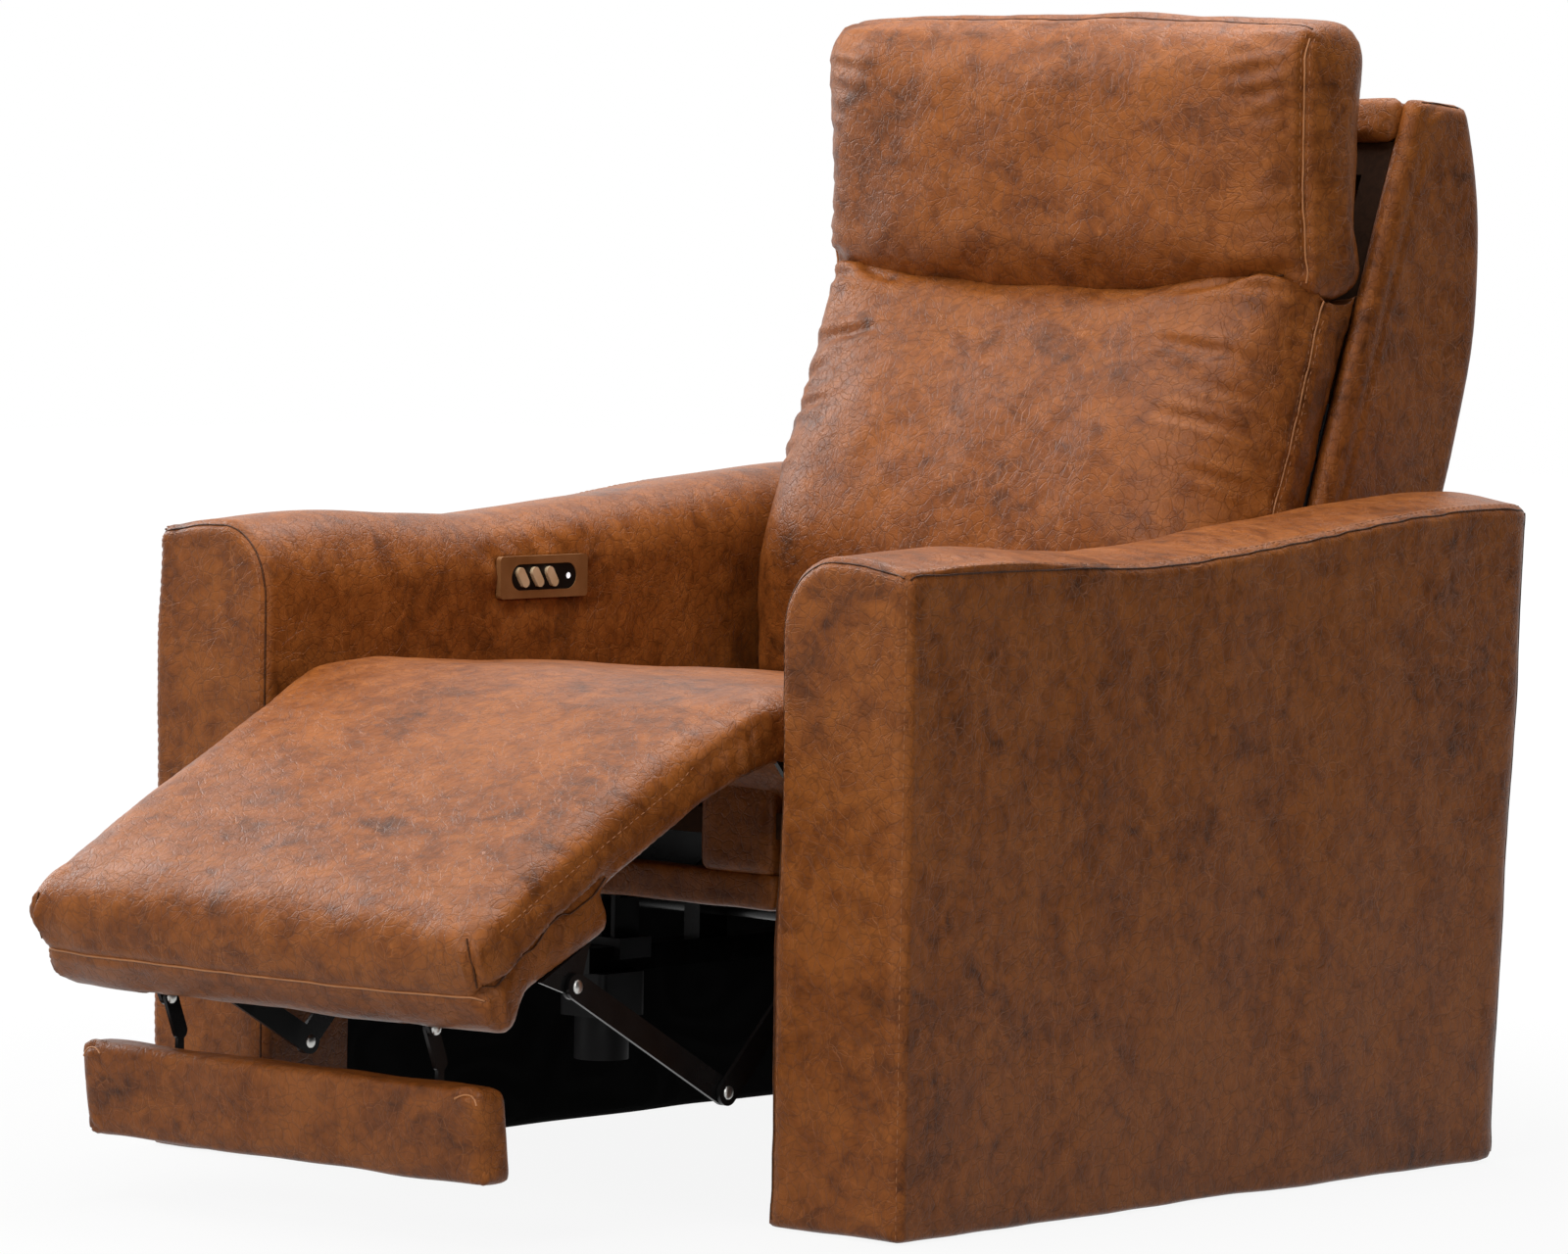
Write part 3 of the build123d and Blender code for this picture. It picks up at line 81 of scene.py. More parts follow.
# Seat and footrest
KNEE = (32.0, 450.0)
FOOT_SLOPE = math.radians(27.0)
PAD_LENGTH = 425.0
PAD_HALF = 287.0
KNEE_HALF = 299.0
PAD_UNDER = -24.0
PAD_TOP = 26.0
BOARD_START = 236.0
BOARD_END = 424.0
BOARD_HALF = 270.0
BOARD_UNDER = -70.0
CHANNEL_X = 166.0
CHANNEL_HALF = 13.0
CHANNEL_END = 412.0
CHANNEL_ROOF = -64.0
SEAT_HALF = 320.0
SEAT_DECK = 372.0
SEAT_REAR = 636.0
SEAT_CREST = 476.0
SEAT_CREST_AT = 84.0
SEAT_FALL = 38.0
# Flap and the rail behind it
FLAP_HALF = 255.5
FLAP_HEIGHT = 88.0
FLAP_DEPTH = 40.2
FLAP_TILT = 0.13
FLAP_FRONT = 40.0
# Back and headrest
BACK_PIVOT = (700.0, 400.0)
BACK_LEAN = math.radians(20.0)
BACK_HALF = 308.0
WING_FRONT = 20.0
BACK_SEAM = -30.0
BACK_CROWN = 138.0
BACK_LOW = 25.0
BACK_TOP = 482.0
LIP_SAG = 46.0
HEAD_PIVOT = (828.0, 862.0)
HEAD_LEAN = math.radians(-2.0)
HEAD_HALF = 310.0
HEAD_ROLL = 52.0
HEAD_EDGE = 28.0
HEAD_HEIGHT = 246.0
HEAD_TIP = 40.0
FOLD_SAG = 28.0
FOLD_SIDE = 6.0
# Shell behind the back, measured from the back's pivot
SHELL_LOW = -80.0
SHELL_REAR = 208.0
SHELL_BEND = 341.0
SHELL_TOP = (99.0, 704.0)
SHELL_FRONT_DROP = 22.0
SHELL_THICK = 15.0
SHELL_HALF = 298.0
# Skins of the covers, seams and stitch rows
SKIN = 5.0
FINE_SKIN = 4.0
SEAM_LIFT = 0.2
ROW_OFFSET = 5.0
TOP_ROW_OFFSET = 7.0
FRONT_ROW_OFFSET = 5.5
# Switch panel on the right arm
SWITCH = (389.0, 549.0)
BEZEL = (126.0, 42.0)
# Dust cloth behind the mechanism
CLOTH_HALF = 327.0
CLOTH_Y = 847.5
CLOTH_LOW = 24.0
CLOTH_HEIGHT = 198.0
CLOTH_SLACK = -4.0


def spots(points):
    """Millimetres from the arm fronts to metres in the shared frame."""
    return (np.asarray(points, float) - (0.0, ARM_FRONT, 0.0)) * MM


class Slant:
    """A sheet that the parts lie along: two directions in Y and Z from an origin."""

    def __init__(self, origin, first, second):
        self.origin = origin
        self.first = first
        self.second = second

    def __call__(self, x, along, height):
        """The points at x, this far along the first and the second direction."""
        along = np.asarray(along, float)
        height = np.asarray(height, float)
        y, z = (self.origin[i] + along * self.first[i] + height * self.second[i] for i in (0, 1))
        return np.stack(np.broadcast_arrays(np.asarray(x, float), y, z), axis=-1)

    def read(self, points):
        """How far along the first and the second direction some points lie."""
        y = points[..., 1] - self.origin[0]
        z = points[..., 2] - self.origin[1]
        return [y * way[0] + z * way[1] for way in (self.first, self.second)]


def leaning(pivot, lean, sense=1.0):
    """The sheet of a part that leans back from a pivot: through the part, and up along it."""
    c, s = math.cos(lean), math.sin(lean)
    return Slant(pivot, (sense * c, -sense * s), (s, c))


on_chair = Slant((0.0, 0.0), (1.0, 0.0), (0.0, 1.0))
on_slope = leaning(KNEE, -FOOT_SLOPE, -1.0)
on_back = leaning(BACK_PIVOT, BACK_LEAN)
on_head = leaning(HEAD_PIVOT, HEAD_LEAN)
flap_hinge = on_slope(0.0, 392.0, -92.0)
# Along the flap is down from its top, and its height is towards the front
on_flap = Slant((flap_hinge[1] + 8.2, flap_hinge[2] - 46.0), (FLAP_TILT, -1.0), (-1.0, 0.0))


def on_band(x, along, height):
    """A point of the band behind the headrest: along is up the back."""
    return on_back(x, WING_FRONT - 1.0 - np.asarray(height), along)


def traced(place_on, side, *stops):
    """A path through stops of x, along and height, on one side of the chair."""
    x, along, height = np.transpose(stops)
    return place_on(side * x, along, height)


def ease(value, low, high):
    share = np.clip((np.asarray(value, float) - low) / (high - low), 0.0, 1.0)
    return share * share * (3 - 2 * share)


def hump(share):
    return np.sin(np.pi * share)


# Materials and other node trees
class Wiring:
    """A node tree with short ways to add to it. A value is a number, a colour or a node's output."""

    def __init__(self, tree):
        self.nodes = tree.nodes
        self.links = tree.links

    def feed(self, socket, value):
        if isinstance(value, bpy.types.NodeSocket):
            self.links.new(value, socket)
        elif socket.type == "RGBA":
            socket.default_value = (*value, 1.0)
        else:
            socket.default_value = value

    def node(self, kind, inputs=(), **settings):
        fresh = self.nodes.new(kind)
        for key, value in settings.items():
            setattr(fresh, key, value)
        for key, value in dict(inputs).items():
            self.feed(fresh.inputs[key], value)
        return fresh

    def place(self, scale=(1.0, 1.0, 1.0)):
        """Object coordinates in metres, stretched by a scale."""
        where = self.node("ShaderNodeTexCoord").outputs["Object"]
        return self.node("ShaderNodeMapping", {"Vector": where, "Scale": scale}).outputs["Vector"]

    def speckle(self, vector, scale, detail, roughness=0.6, distortion=0.0):
        inputs = {"Vector": vector, "Scale": scale, "Detail": detail, "Roughness": roughness}
        return self.node("ShaderNodeTexNoise", {**inputs, "Distortion": distortion}).outputs["Fac"]

    def ramp(self, value, *stops):
        """A ramp through stops of a position and a colour or a grey."""
        ramp = self.node("ShaderNodeValToRGB", {"Fac": value})
        ends = ramp.color_ramp.elements
        while len(ends) < len(stops):
            ends.new(0.5)
        for end, (position, tone) in zip(ends, stops):
            end.position = position
            end.color = (*tone, 1.0) if isinstance(tone, tuple) else (tone, tone, tone, 1.0)
        return ramp.outputs["Color"]

    def cell_edges(self, vector, scale, width):
        """White lines of a width along the edges of cells."""
        inputs = {"Vector": vector, "Scale": scale}
        cells = self.node("ShaderNodeTexVoronoi", inputs, feature="DISTANCE_TO_EDGE")
        return self.ramp(cells.outputs["Distance"], (0.0, 1.0), (width, 0.0))

    def mix(self, share, first, second, kind="MIX"):
        inputs = {0: share, 6: first, 7: second}
        return self.node("ShaderNodeMix", inputs, data_type="RGBA", blend_type=kind).outputs[2]

    def arithmetic(self, kind, first, second):
        return self.node("ShaderNodeMath", {0: first, 1: second}, operation=kind).outputs[0]

    def backdrop_rays(self):
        """1 for the rays that show the white background: of the camera, of gloss and through glass."""
        path = self.node("ShaderNodeLightPath").outputs
        seen = self.arithmetic("MAXIMUM", path["Is Camera Ray"], path["Is Glossy Ray"])
        return self.arithmetic("MAXIMUM", seen, path["Is Transmission Ray"])


class Finish(Wiring):
    """A material, wired to its surface node."""

    def __init__(self, name):
        self.material = bpy.data.materials.new(name)
        self.material.use_nodes = True
        super().__init__(self.material.node_tree)
        self.bsdf = self.nodes["Principled BSDF"]

    def surface(self, inputs):
        for key, value in inputs.items():
            self.feed(self.bsdf.inputs[key], value)
        return self.material

    def bumped(self, *heights):
        """Bumps laid over each other: pairs of a height and its depth in metres."""
        below = {}
        for height, depth in heights:
            inputs = {"Strength": 1.0, "Distance": depth, "Height": height}
            bump = self.node("ShaderNodeBump", {**inputs, **below})
            below = {"Normal": bump.outputs["Normal"]}
        self.surface(below)


COGNAC = (0.280, 0.086, 0.016)
RUST = (0.187, 0.052, 0.009)
UMBER = (0.050, 0.0145, 0.004)
VEIN = (0.400, 0.135, 0.030)
WHITE = (1.0, 1.0, 1.0)


def distressed_leather(name, shade=1.0):
    """Waxed pull-up leather: smudged dark patches, pale crumple veins and a fine grain."""
    ink = Finish(name)
    flat = ink.place()
    slanted = ink.place((1.0, 1.6, 1.3))
    clouds = ink.arithmetic("MULTIPLY", ink.speckle(flat, 7.0, 4.0, 0.55, 0.5), 0.42)
    smudges = ink.arithmetic("MULTIPLY", ink.speckle(slanted, 26.0, 6.0, 0.58, 0.6), 0.58)
    patches = ink.arithmetic("ADD", clouds, smudges)
    tone = ink.ramp(patches, (0.33, UMBER), (0.46, RUST), (0.58, COGNAC))
    mottling = ink.ramp(ink.speckle(flat, 62.0, 5.0, 0.62, 0.8), (0.36, UMBER), (0.60, COGNAC))
    tone = ink.mix(0.26, tone, mottling)
    # Crumple veins: the edges of warped cells, broken up so that only stretches of them show
    warp = ink.node("ShaderNodeTexNoise", {"Vector": flat, "Scale": 24.0, "Detail": 2.5}).outputs["Color"]
    warped = ink.node("ShaderNodeMix", {0: 0.032, 4: flat, 5: warp}, data_type="VECTOR").outputs[1]
    veins = ink.mix(1.0, ink.cell_edges(warped, 30.0, 0.013), ink.cell_edges(warped, 47.0, 0.018), "LIGHTEN")
    broken = ink.ramp(ink.speckle(flat, 26.0, 4.0, 0.6, 0.5), (0.38, 0.0), (0.66, 1.0))
    veins = ink.mix(1.0, veins, broken, "MULTIPLY")
    tone = ink.mix(ink.arithmetic("MULTIPLY", veins, 0.50), tone, VEIN)
    # Fine dark creases between the pebbles of the grain
    creases = ink.cell_edges(warped, 88.0, 0.07)
    tone = ink.mix(ink.arithmetic("MULTIPLY", creases, 0.34), tone, UMBER)
    # A shade below 1 multiplies the whole tone down: a shaded copy of the leather, used as painted shade in
    # the seams
    if shade != 1.0:
        tone = ink.mix(1.0, tone, (shade, shade, shade), "MULTIPLY")
    grain = ink.node("ShaderNodeTexVoronoi", {"Vector": warped, "Scale": 620.0}).outputs["Distance"]
    wrinkle = ink.speckle(flat, 120.0, 5.0, 0.65, 0.6)
    ink.bumped((grain, 0.00018), (wrinkle, 0.00075), (veins, -0.00034), (creases, -0.00022))
    sheen = ink.ramp(patches, (0.3, 0.30), (0.7, 0.42))
    return ink.surface({"Base Color": tone, "Roughness": sheen, "Specular IOR Level": 0.17})


def plain_finish(name, colour, worn, roughness, metallic=0.0, scale=90.0, specular=0.5):
    """A hard finish with a little unevenness in colour, gloss and surface."""
    ink = Finish(name)
    flat = ink.place()
    cloud = ink.speckle(flat, scale * 0.2, 4.0)
    tone = ink.ramp(cloud, (0.35, colour), (0.75, worn))
    sheen = ink.ramp(cloud, (0.3, roughness * 0.8), (0.7, min(roughness * 1.25, 1.0)))
    ink.bumped((ink.speckle(flat, scale * 12.0, 3.0), 0.00004))
    ink.surface({"Metallic": metallic, "Specular IOR Level": specular})
    return ink.surface({"Base Color": tone, "Roughness": sheen})


def woven(name, colour, worn, scale):
    ink = Finish(name)
    inputs = {"Vector": ink.place(), "Scale": scale}
    waves = [ink.node("ShaderNodeTexWave", inputs, bands_direction=way).outputs["Fac"] for way in "XZ"]
    weave = ink.arithmetic("MULTIPLY", *waves)
    ink.bumped((weave, 0.0003))
    tone = ink.ramp(weave, (0.1, colour), (0.9, worn))
    return ink.surface({"Base Color": tone, "Roughness": 0.9, "Specular IOR Level": 0.05})


# Timber with a grain, darkened to near black: painted shade, so the frame seen in the hollow behind the
# headrest reads as shade
def timber_darkened_as_shade(name):
    ink = Finish(name)
    rings = ink.speckle(ink.place((30.0, 3.0, 30.0)), 3.0, 6.0, 0.65, 1.2)
    ink.bumped((rings, 0.0003))
    tone = ink.ramp(rings, (0.3, (0.020, 0.008, 0.003)), (0.7, (0.042, 0.017, 0.007)))
    return ink.surface({"Base Color": tone, "Roughness": 0.75, "Specular IOR Level": 0.1})


LEATHER = distressed_leather("cognac_leather")
# Leather darkened to 0.28: painted shade for the dark lines sunk in the seams, partly the seam joint itself
SHADED_SEAM_LEATHER = distressed_leather("seam_leather_painted_shade", 0.28)
THREAD = plain_finish("saddle_thread", (0.24, 0.085, 0.028), (0.36, 0.15, 0.055), 0.7, scale=300.0)
PIPING = plain_finish("folded_leather_edge", (0.34, 0.13, 0.040), (0.48, 0.20, 0.070), 0.45, scale=300.0)
ZINC = plain_finish("zinc_steel", (0.48, 0.48, 0.46), (0.66, 0.65, 0.62), 0.32, 1.0, 80.0)
# Black cloth: the dust cloth behind the mechanism, and painted shade on the arms' insides under the seat
DUST_CLOTH_AND_SHADE = woven("dust_cloth", (0.004, 0.004, 0.004), (0.010, 0.010, 0.010), 340.0)
LENS = plain_finish("clear_lens", (0.80, 0.86, 0.92), (0.92, 0.96, 1.0), 0.15)
LENS.node_tree.nodes["Principled BSDF"].inputs["Emission Color"].default_value = (0.9, 0.95, 1.0, 1.0)
LENS.node_tree.nodes["Principled BSDF"].inputs["Emission Strength"].default_value = 0.6
FINISH_OF = {
    "leather": LEATHER,
    "timber": timber_darkened_as_shade("timber_darkened_as_shade"),
    "black_steel": plain_finish("black_steel", (0.004, 0.004, 0.004), (0.011, 0.010, 0.010), 0.24,
                                scale=60.0, specular=0.18),
    "zinc_steel": ZINC,
    "webbing": woven("elastic_webbing", (0.015, 0.015, 0.016), (0.05, 0.05, 0.052), 260.0),
    "black_plastic": plain_finish("black_nylon", (0.005, 0.005, 0.005), (0.010, 0.010, 0.011), 0.5,
                                  scale=150.0, specular=0.15),
    "bronze": plain_finish("bronze_plate", (0.215, 0.092, 0.030), (0.290, 0.135, 0.050), 0.34, 0.25, 120.0),
    "gloss_black": plain_finish("insert_black", (0.003, 0.003, 0.003), (0.005, 0.005, 0.005), 0.35,
                                specular=0.2),
    "champagne": plain_finish("champagne_metal", (0.62, 0.44, 0.25), (0.74, 0.56, 0.36), 0.32, 0.25, 200.0),
    "white_light": LENS,
}
for subpart in frame["record"]["subparts"]:
    node = frame["nodes"][subpart["node"]]
    node.data.materials.clear()
    node.data.materials.append(FINISH_OF[subpart["material_slot"]])


# Making meshes
def added(name, data):
    piece = bpy.data.objects.new(name, data)
    bpy.context.scene.collection.objects.link(piece)
    return piece


def made(name, verts, faces, material=LEATHER):
    mesh = bpy.data.meshes.new(name)
    mesh.from_pydata([tuple(v) for v in verts], [], faces)
    work = bmesh.new()
    work.from_mesh(mesh)
    bmesh.ops.remove_doubles(work, verts=work.verts, dist=1e-6)
    bmesh.ops.recalc_face_normals(work, faces=work.faces)
    work.to_mesh(mesh)
    work.free()
    mesh.materials.append(material)
    return added(name, mesh)


def lofted(name, rings):
    """A closed form through rings of points, with its two ends closed."""
    rings = np.asarray(rings, float)
    count, size = rings.shape[:2]
    faces = []
    for i in range(count - 1):
        for j in range(size):
            k = (j + 1) % size
            faces.append((i * size + j, i * size + k, (i + 1) * size + k, (i + 1) * size + j))
    faces.append(tuple(range(size)))
    faces.append(tuple((count - 1) * size + j for j in range(size)))
    return made(name, spots(rings.reshape(-1, 3)), faces)


def coords(mesh):
    flat = np.empty(len(mesh.vertices) * 3)
    mesh.vertices.foreach_get("co", flat)
    return flat.reshape(-1, 3)


def measured(piece):
    """A piece's points in millimetres from the arm fronts."""
    return coords(piece.data) / MM + (0.0, ARM_FRONT, 0.0)


def normals(mesh):
    flat = np.empty(len(mesh.vertices) * 3, np.float32)
    mesh.vertex_normals.foreach_get("vector", flat)
    return flat.reshape(-1, 3).astype(float)


def put(mesh, points):
    mesh.vertices.foreach_set("co", np.asarray(points, float).ravel())
    mesh.update()


def surface_of(mesh):
    return BVHTree.FromPolygons([tuple(v) for v in coords(mesh)], [tuple(p.vertices) for p in mesh.polygons])


def smoothed(mesh, rounds, strength=0.5):
    """Eases each point towards the middle of its neighbours."""
    edges = np.empty(len(mesh.edges) * 2, int)
    mesh.edges.foreach_get("vertices", edges)
    a, b = edges.reshape(-1, 2).T
    points = coords(mesh)
    size = len(points)
    count = np.bincount(a, minlength=size) + np.bincount(b, minlength=size)
    for _ in range(rounds):
        total = np.zeros_like(points)
        for axis in range(3):
            total[:, axis] = np.bincount(a, points[b, axis], size) + np.bincount(b, points[a, axis], size)
        points += strength * (total / count[:, None] - points)
    put(mesh, points)


def baked(piece):
    """The piece's shape with its modifiers, as a plain mesh."""
    graph = bpy.context.evaluated_depsgraph_get()
    mesh = bpy.data.meshes.new_from_object(piece.evaluated_get(graph))
    piece.modifiers.clear()
    old = piece.data
    mesh.name = old.name
    piece.data = mesh
    bpy.data.meshes.remove(old)


def shaded_smooth(piece):
    piece.data.polygons.foreach_set("use_smooth", [True] * len(piece.data.polygons))


def reskinned(piece, voxel, rounds):
    """An even skin of small quads over a rough form."""
    remesh = piece.modifiers.new("skin", "REMESH")
    remesh.mode = "VOXEL"
    remesh.voxel_size = voxel * MM
    baked(piece)
    smoothed(piece.data, rounds)
    shaded_smooth(piece)


def stuffed(piece, cap, pressure, frames=14):
    """Blows the cover up from inside like filling does, no point moving further than the cap."""
    before = coords(piece.data)
    cloth = piece.modifiers.new("stuffing", "CLOTH")
    cloth.settings.use_pressure = True
    cloth.settings.uniform_pressure_force = pressure
    cloth.settings.effector_weights.gravity = 0.0
    cloth.settings.quality = 4
    cloth.settings.tension_stiffness = 20.0
    cloth.settings.compression_stiffness = 20.0
    cloth.settings.bending_stiffness = 0.6
    cloth.collision_settings.use_self_collision = False
    cloth.point_cache.frame_end = frames
    for step in range(1, frames + 1):
        bpy.context.scene.frame_set(step)
    baked(piece)
    bpy.context.scene.frame_set(1)
    move = coords(piece.data) - before
    length = np.linalg.norm(move, axis=1, keepdims=True)
    put(piece.data, before + move * np.minimum(1.0, cap * MM / np.maximum(length, 1e-9)))
    shaded_smooth(piece)


def waviness(points, seed, wavelength, count=10):
    """A smooth seeded unevenness between about -1 and 1, for points in millimetres."""
    rng = np.random.default_rng(seed)
    total = np.zeros(len(points))
    for _ in range(count):
        direction = rng.normal(size=3)
        direction /= np.linalg.norm(direction)
        rate = 2 * math.pi / (wavelength * rng.uniform(0.7, 1.5))
        total += np.sin(points @ direction * rate + rng.uniform(0, 2 * math.pi))
    return total / math.sqrt(count)


def uneven(piece, *waves):
    """Raises and sinks a cover by waves of a seed, a wavelength and a height."""
    mesh = piece.data
    for seed, wavelength, height in waves:
        points = coords(mesh) / MM
        put(mesh, (points + normals(mesh) * (waviness(points, seed, wavelength) * height)[:, None]) * MM)


def skinned(name, rings, voxel, rounds, *waves):
    """A cover: a form through rings, skinned evenly and then made uneven."""
    piece = lofted(name, rings)
    reskinned(piece, voxel, rounds)
    uneven(piece, *waves)
    return piece


def dense(path, step=4.0):
    """A polyline with a point every few millimetres."""
    path = np.asarray(path, float)
    lengths = np.linalg.norm(np.diff(path, axis=0), axis=1)
    total = np.concatenate([[0.0], np.cumsum(lengths)])
    marks = np.linspace(0.0, total[-1], max(2, int(total[-1] / step)))
    return np.stack([np.interp(marks, total, path[:, axis]) for axis in range(3)], axis=1), marks


def nearest(points, path, reach, batch=4000):
    """For points within reach of a path: their indices, distances and marks along it."""
    line, marks = dense(path)
    inside = np.all((points > line.min(0) - reach) & (points < line.max(0) + reach), axis=1)
    chosen = np.nonzero(inside)[0]
    gap = np.full(len(chosen), np.inf)
    mark = np.zeros(len(chosen))
    for start in range(0, len(chosen), batch):
        part = points[chosen[start:start + batch]]
        square = ((part[:, None, :] - line[None, :, :]) ** 2).sum(-1)
        best = square.argmin(1)
        gap[start:start + batch] = np.sqrt(square[np.arange(len(part)), best])
        mark[start:start + batch] = marks[best]
    close = gap < reach
    return chosen[close], gap[close], mark[close]


def groove(path, width, depth, lips=0.0, taper=False, gathers=None):
    """A seam or crease to press in. Gathers, of a seed, a spacing, a reach and a depth, are
    the small pleats that run away from a seam."""
    return path, width, depth, lips, taper, gathers


def pressed(piece, grooves):
    """Presses seams, creases and gathers into a cover."""
    mesh = piece.data
    points = measured(piece)
    push = np.zeros(len(points))
    surface = surface_of(mesh)
    for path, width, depth, lips, taper, gathers in grooves:
        settled = [surface.find_nearest(Vector(point))[0] for point in spots(dense(path)[0])]
        path = np.array(settled) / MM + (0.0, ARM_FRONT, 0.0)
        end = dense(path)[1][-1]
        chosen, gap, mark = nearest(points, path, 3 * width)
        fade = np.sin(np.pi * np.clip(mark / end, 0.0, 1.0)) ** 0.7 if taper else 1.0
        push[chosen] -= depth * np.exp(-(gap / width) ** 2) * fade
        push[chosen] += lips * np.exp(-((gap - 2 * width) / width) ** 2) * fade
        if gathers is None:
            continue
        seed, spacing, reach, pleat = gathers
        rng = np.random.default_rng(seed)
        chosen, gap, mark = nearest(points, path, 2.2 * reach)
        at = rng.uniform(0, spacing)
        while at < end:
            size = rng.uniform(0.4, 1.0)
            run = reach * rng.uniform(0.5, 1.3)
            slant = rng.uniform(-0.25, 0.25)
            off = (mark - at - slant * gap) / (spacing * 0.16)
            push[chosen] -= pleat * size * np.exp(-off ** 2) * np.exp(-(gap / run) ** 2)
            off = (mark - at - slant * gap - spacing * 0.33) / (spacing * 0.2)
            push[chosen] += 0.6 * pleat * size * np.exp(-off ** 2) * np.exp(-(gap / run) ** 2)
            at += spacing * rng.uniform(0.6, 1.5)
    put(mesh, spots(points + normals(mesh) * push[:, None]))


def upholstered(piece, body, fill, *nodes):
    """Says which body a leather cover rides and hides the solids it stands for; fill, how full it is, is not
    used.
    """
    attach(piece, body)
    if nodes:
        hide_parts(*nodes)


# Seams, stitches and rivets: lines and spots laid on the finished covers, grown by node trees
def growing_tree(name, material, sizes, grow):
    """A node tree that grows a mesh along lines, and its sizes' identifiers."""
    tree = bpy.data.node_groups.new(name, "GeometryNodeTree")
    sockets = tree.interface
    sockets.new_socket("Line", in_out="INPUT", socket_type="NodeSocketGeometry")
    keys = {size: sockets.new_socket(size, in_out="INPUT", socket_type=kind).identifier
            for size, kind in sizes.items()}
    sockets.new_socket("Grown", in_out="OUTPUT", socket_type="NodeSocketGeometry")
    wires = Wiring(tree)
    shapes = grow(wires, wires.node("NodeGroupInput").outputs)
    solid = wires.node("GeometryNodeRealizeInstances", {"Geometry": shapes}).outputs["Geometry"]
    painted = wires.node("GeometryNodeSetMaterial", {"Geometry": solid, "Material": material})
    wires.node("NodeGroupOutput", {"Grown": painted.outputs["Geometry"]})
    return tree, keys


def swept(wires, start):
    curve = wires.node("GeometryNodeMeshToCurve", {"Mesh": start["Line"]}).outputs["Curve"]
    circle = wires.node("GeometryNodeCurvePrimitiveCircle", {"Resolution": 6, "Radius": start["Radius"]})
    inputs = {"Curve": curve, "Profile Curve": circle.outputs["Curve"], "Fill Caps": True}
    return wires.node("GeometryNodeCurveToMesh", inputs).outputs["Mesh"]


def beads(wires, segments, rings, inputs):
    bead = wires.node("GeometryNodeMeshUVSphere", {"Segments": segments, "Rings": rings, "Radius": 1.0})
    inputs["Instance"] = bead.outputs["Mesh"]
    return wires.node("GeometryNodeInstanceOnPoints", inputs).outputs["Instances"]


def stitched(wires, start):
    curve = wires.node("GeometryNodeMeshToCurve", {"Mesh": start["Line"]}).outputs["Curve"]
    inputs = {"Curve": curve, "Length": start["Pitch"]}
    row = wires.node("GeometryNodeCurveToPoints", inputs, mode="LENGTH").outputs
    return beads(wires, 6, 4, {"Points": row["Points"], "Rotation": row["Rotation"], "Scale": start["Size"]})


def riveted(wires, start):
    return beads(wires, 12, 6, {"Points": start["Line"], "Scale": start["Size"]})


LENGTH_SOCKET = "NodeSocketFloat"
SIZE_SOCKET = "NodeSocketVector"
# Sunk seams are grown in the darkened leather: painted shade along the seam grooves
SEAM_TREE = growing_tree("sunk_seam_painted_shade", SHADED_SEAM_LEATHER, {"Radius": LENGTH_SOCKET}, swept)
FOLD_TREE = growing_tree("folded_seam", PIPING, {"Radius": LENGTH_SOCKET}, swept)
STITCH_TREE = growing_tree("stitch_row", THREAD, {"Pitch": LENGTH_SOCKET, "Size": SIZE_SOCKET}, stitched)
RIVET_TREE = growing_tree("rivet_heads", ZINC, {"Size": SIZE_SOCKET}, riveted)
shaded_seam_lines = {}
folded_lines = {}
stitch_lines = {}


def sewn(piece, body, path, seam=True, rows=(), folded=False):
    """Lays a seam line, and rows of stitches beside it, on a piece's finished surface."""
    surface = surface_of(piece.data)
    line = spots(dense(path, 5.0)[0])

    def laid(raw, raised):
        laid_line = []
        for point in raw:
            near, facing, _, _ = surface.find_nearest(Vector(point))
            laid_line.append(np.array(near) + np.array(facing) * raised * MM)
        laid_line = np.array(laid_line)
        for _ in range(2):
            laid_line[1:-1] = 0.25 * laid_line[:-2] + 0.5 * laid_line[1:-1] + 0.25 * laid_line[2:]
        return laid_line

    if seam:
        kind = folded_lines if folded else shaded_seam_lines
        kind.setdefault(body, []).append(laid(line, SEAM_LIFT))
    for offset in rows:
        shifted = []
        for index, point in enumerate(line):
            near, facing, _, _ = surface.find_nearest(Vector(point))
            before = line[max(index - 1, 0)]
            after = line[min(index + 1, len(line) - 1)]
            sideways = Vector(after - before).cross(facing).normalized()
            shifted.append(np.array(near) + np.array(sideways) * offset * MM)
        stitch_lines.setdefault(body, []).append(laid(np.array(shifted), 0.0))


def grown(name, lines, growth, values, body):
    """A piece that a node tree grows along lines."""
    verts = []
    edges = []
    for line in lines:
        first = len(verts)
        verts.extend(tuple(p) for p in line)
        edges.extend((first + i, first + i + 1) for i in range(len(line) - 1))
    mesh = bpy.data.meshes.new(name)
    mesh.from_pydata(verts, edges, [])
    piece = added(name, mesh)
    modifier = piece.modifiers.new("grow", "NODES")
    modifier.node_group, keys = growth
    for key, value in values.items():
        modifier[keys[key]] = value
    baked(piece)
    shaded_smooth(piece)
    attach(piece, body)


# Outlines
def pairs(first, second):
    return np.stack(np.broadcast_arrays(np.asarray(first, float), np.asarray(second, float)), axis=-1)


def square_to(outline):
    """At each point of a closed outline, the direction square to it."""
    following = np.roll(outline, -1, axis=0) - np.roll(outline, 1, axis=0)
    across = pairs(following[:, 1], -following[:, 0])
    return across / np.linalg.norm(across, axis=1, keepdims=True)


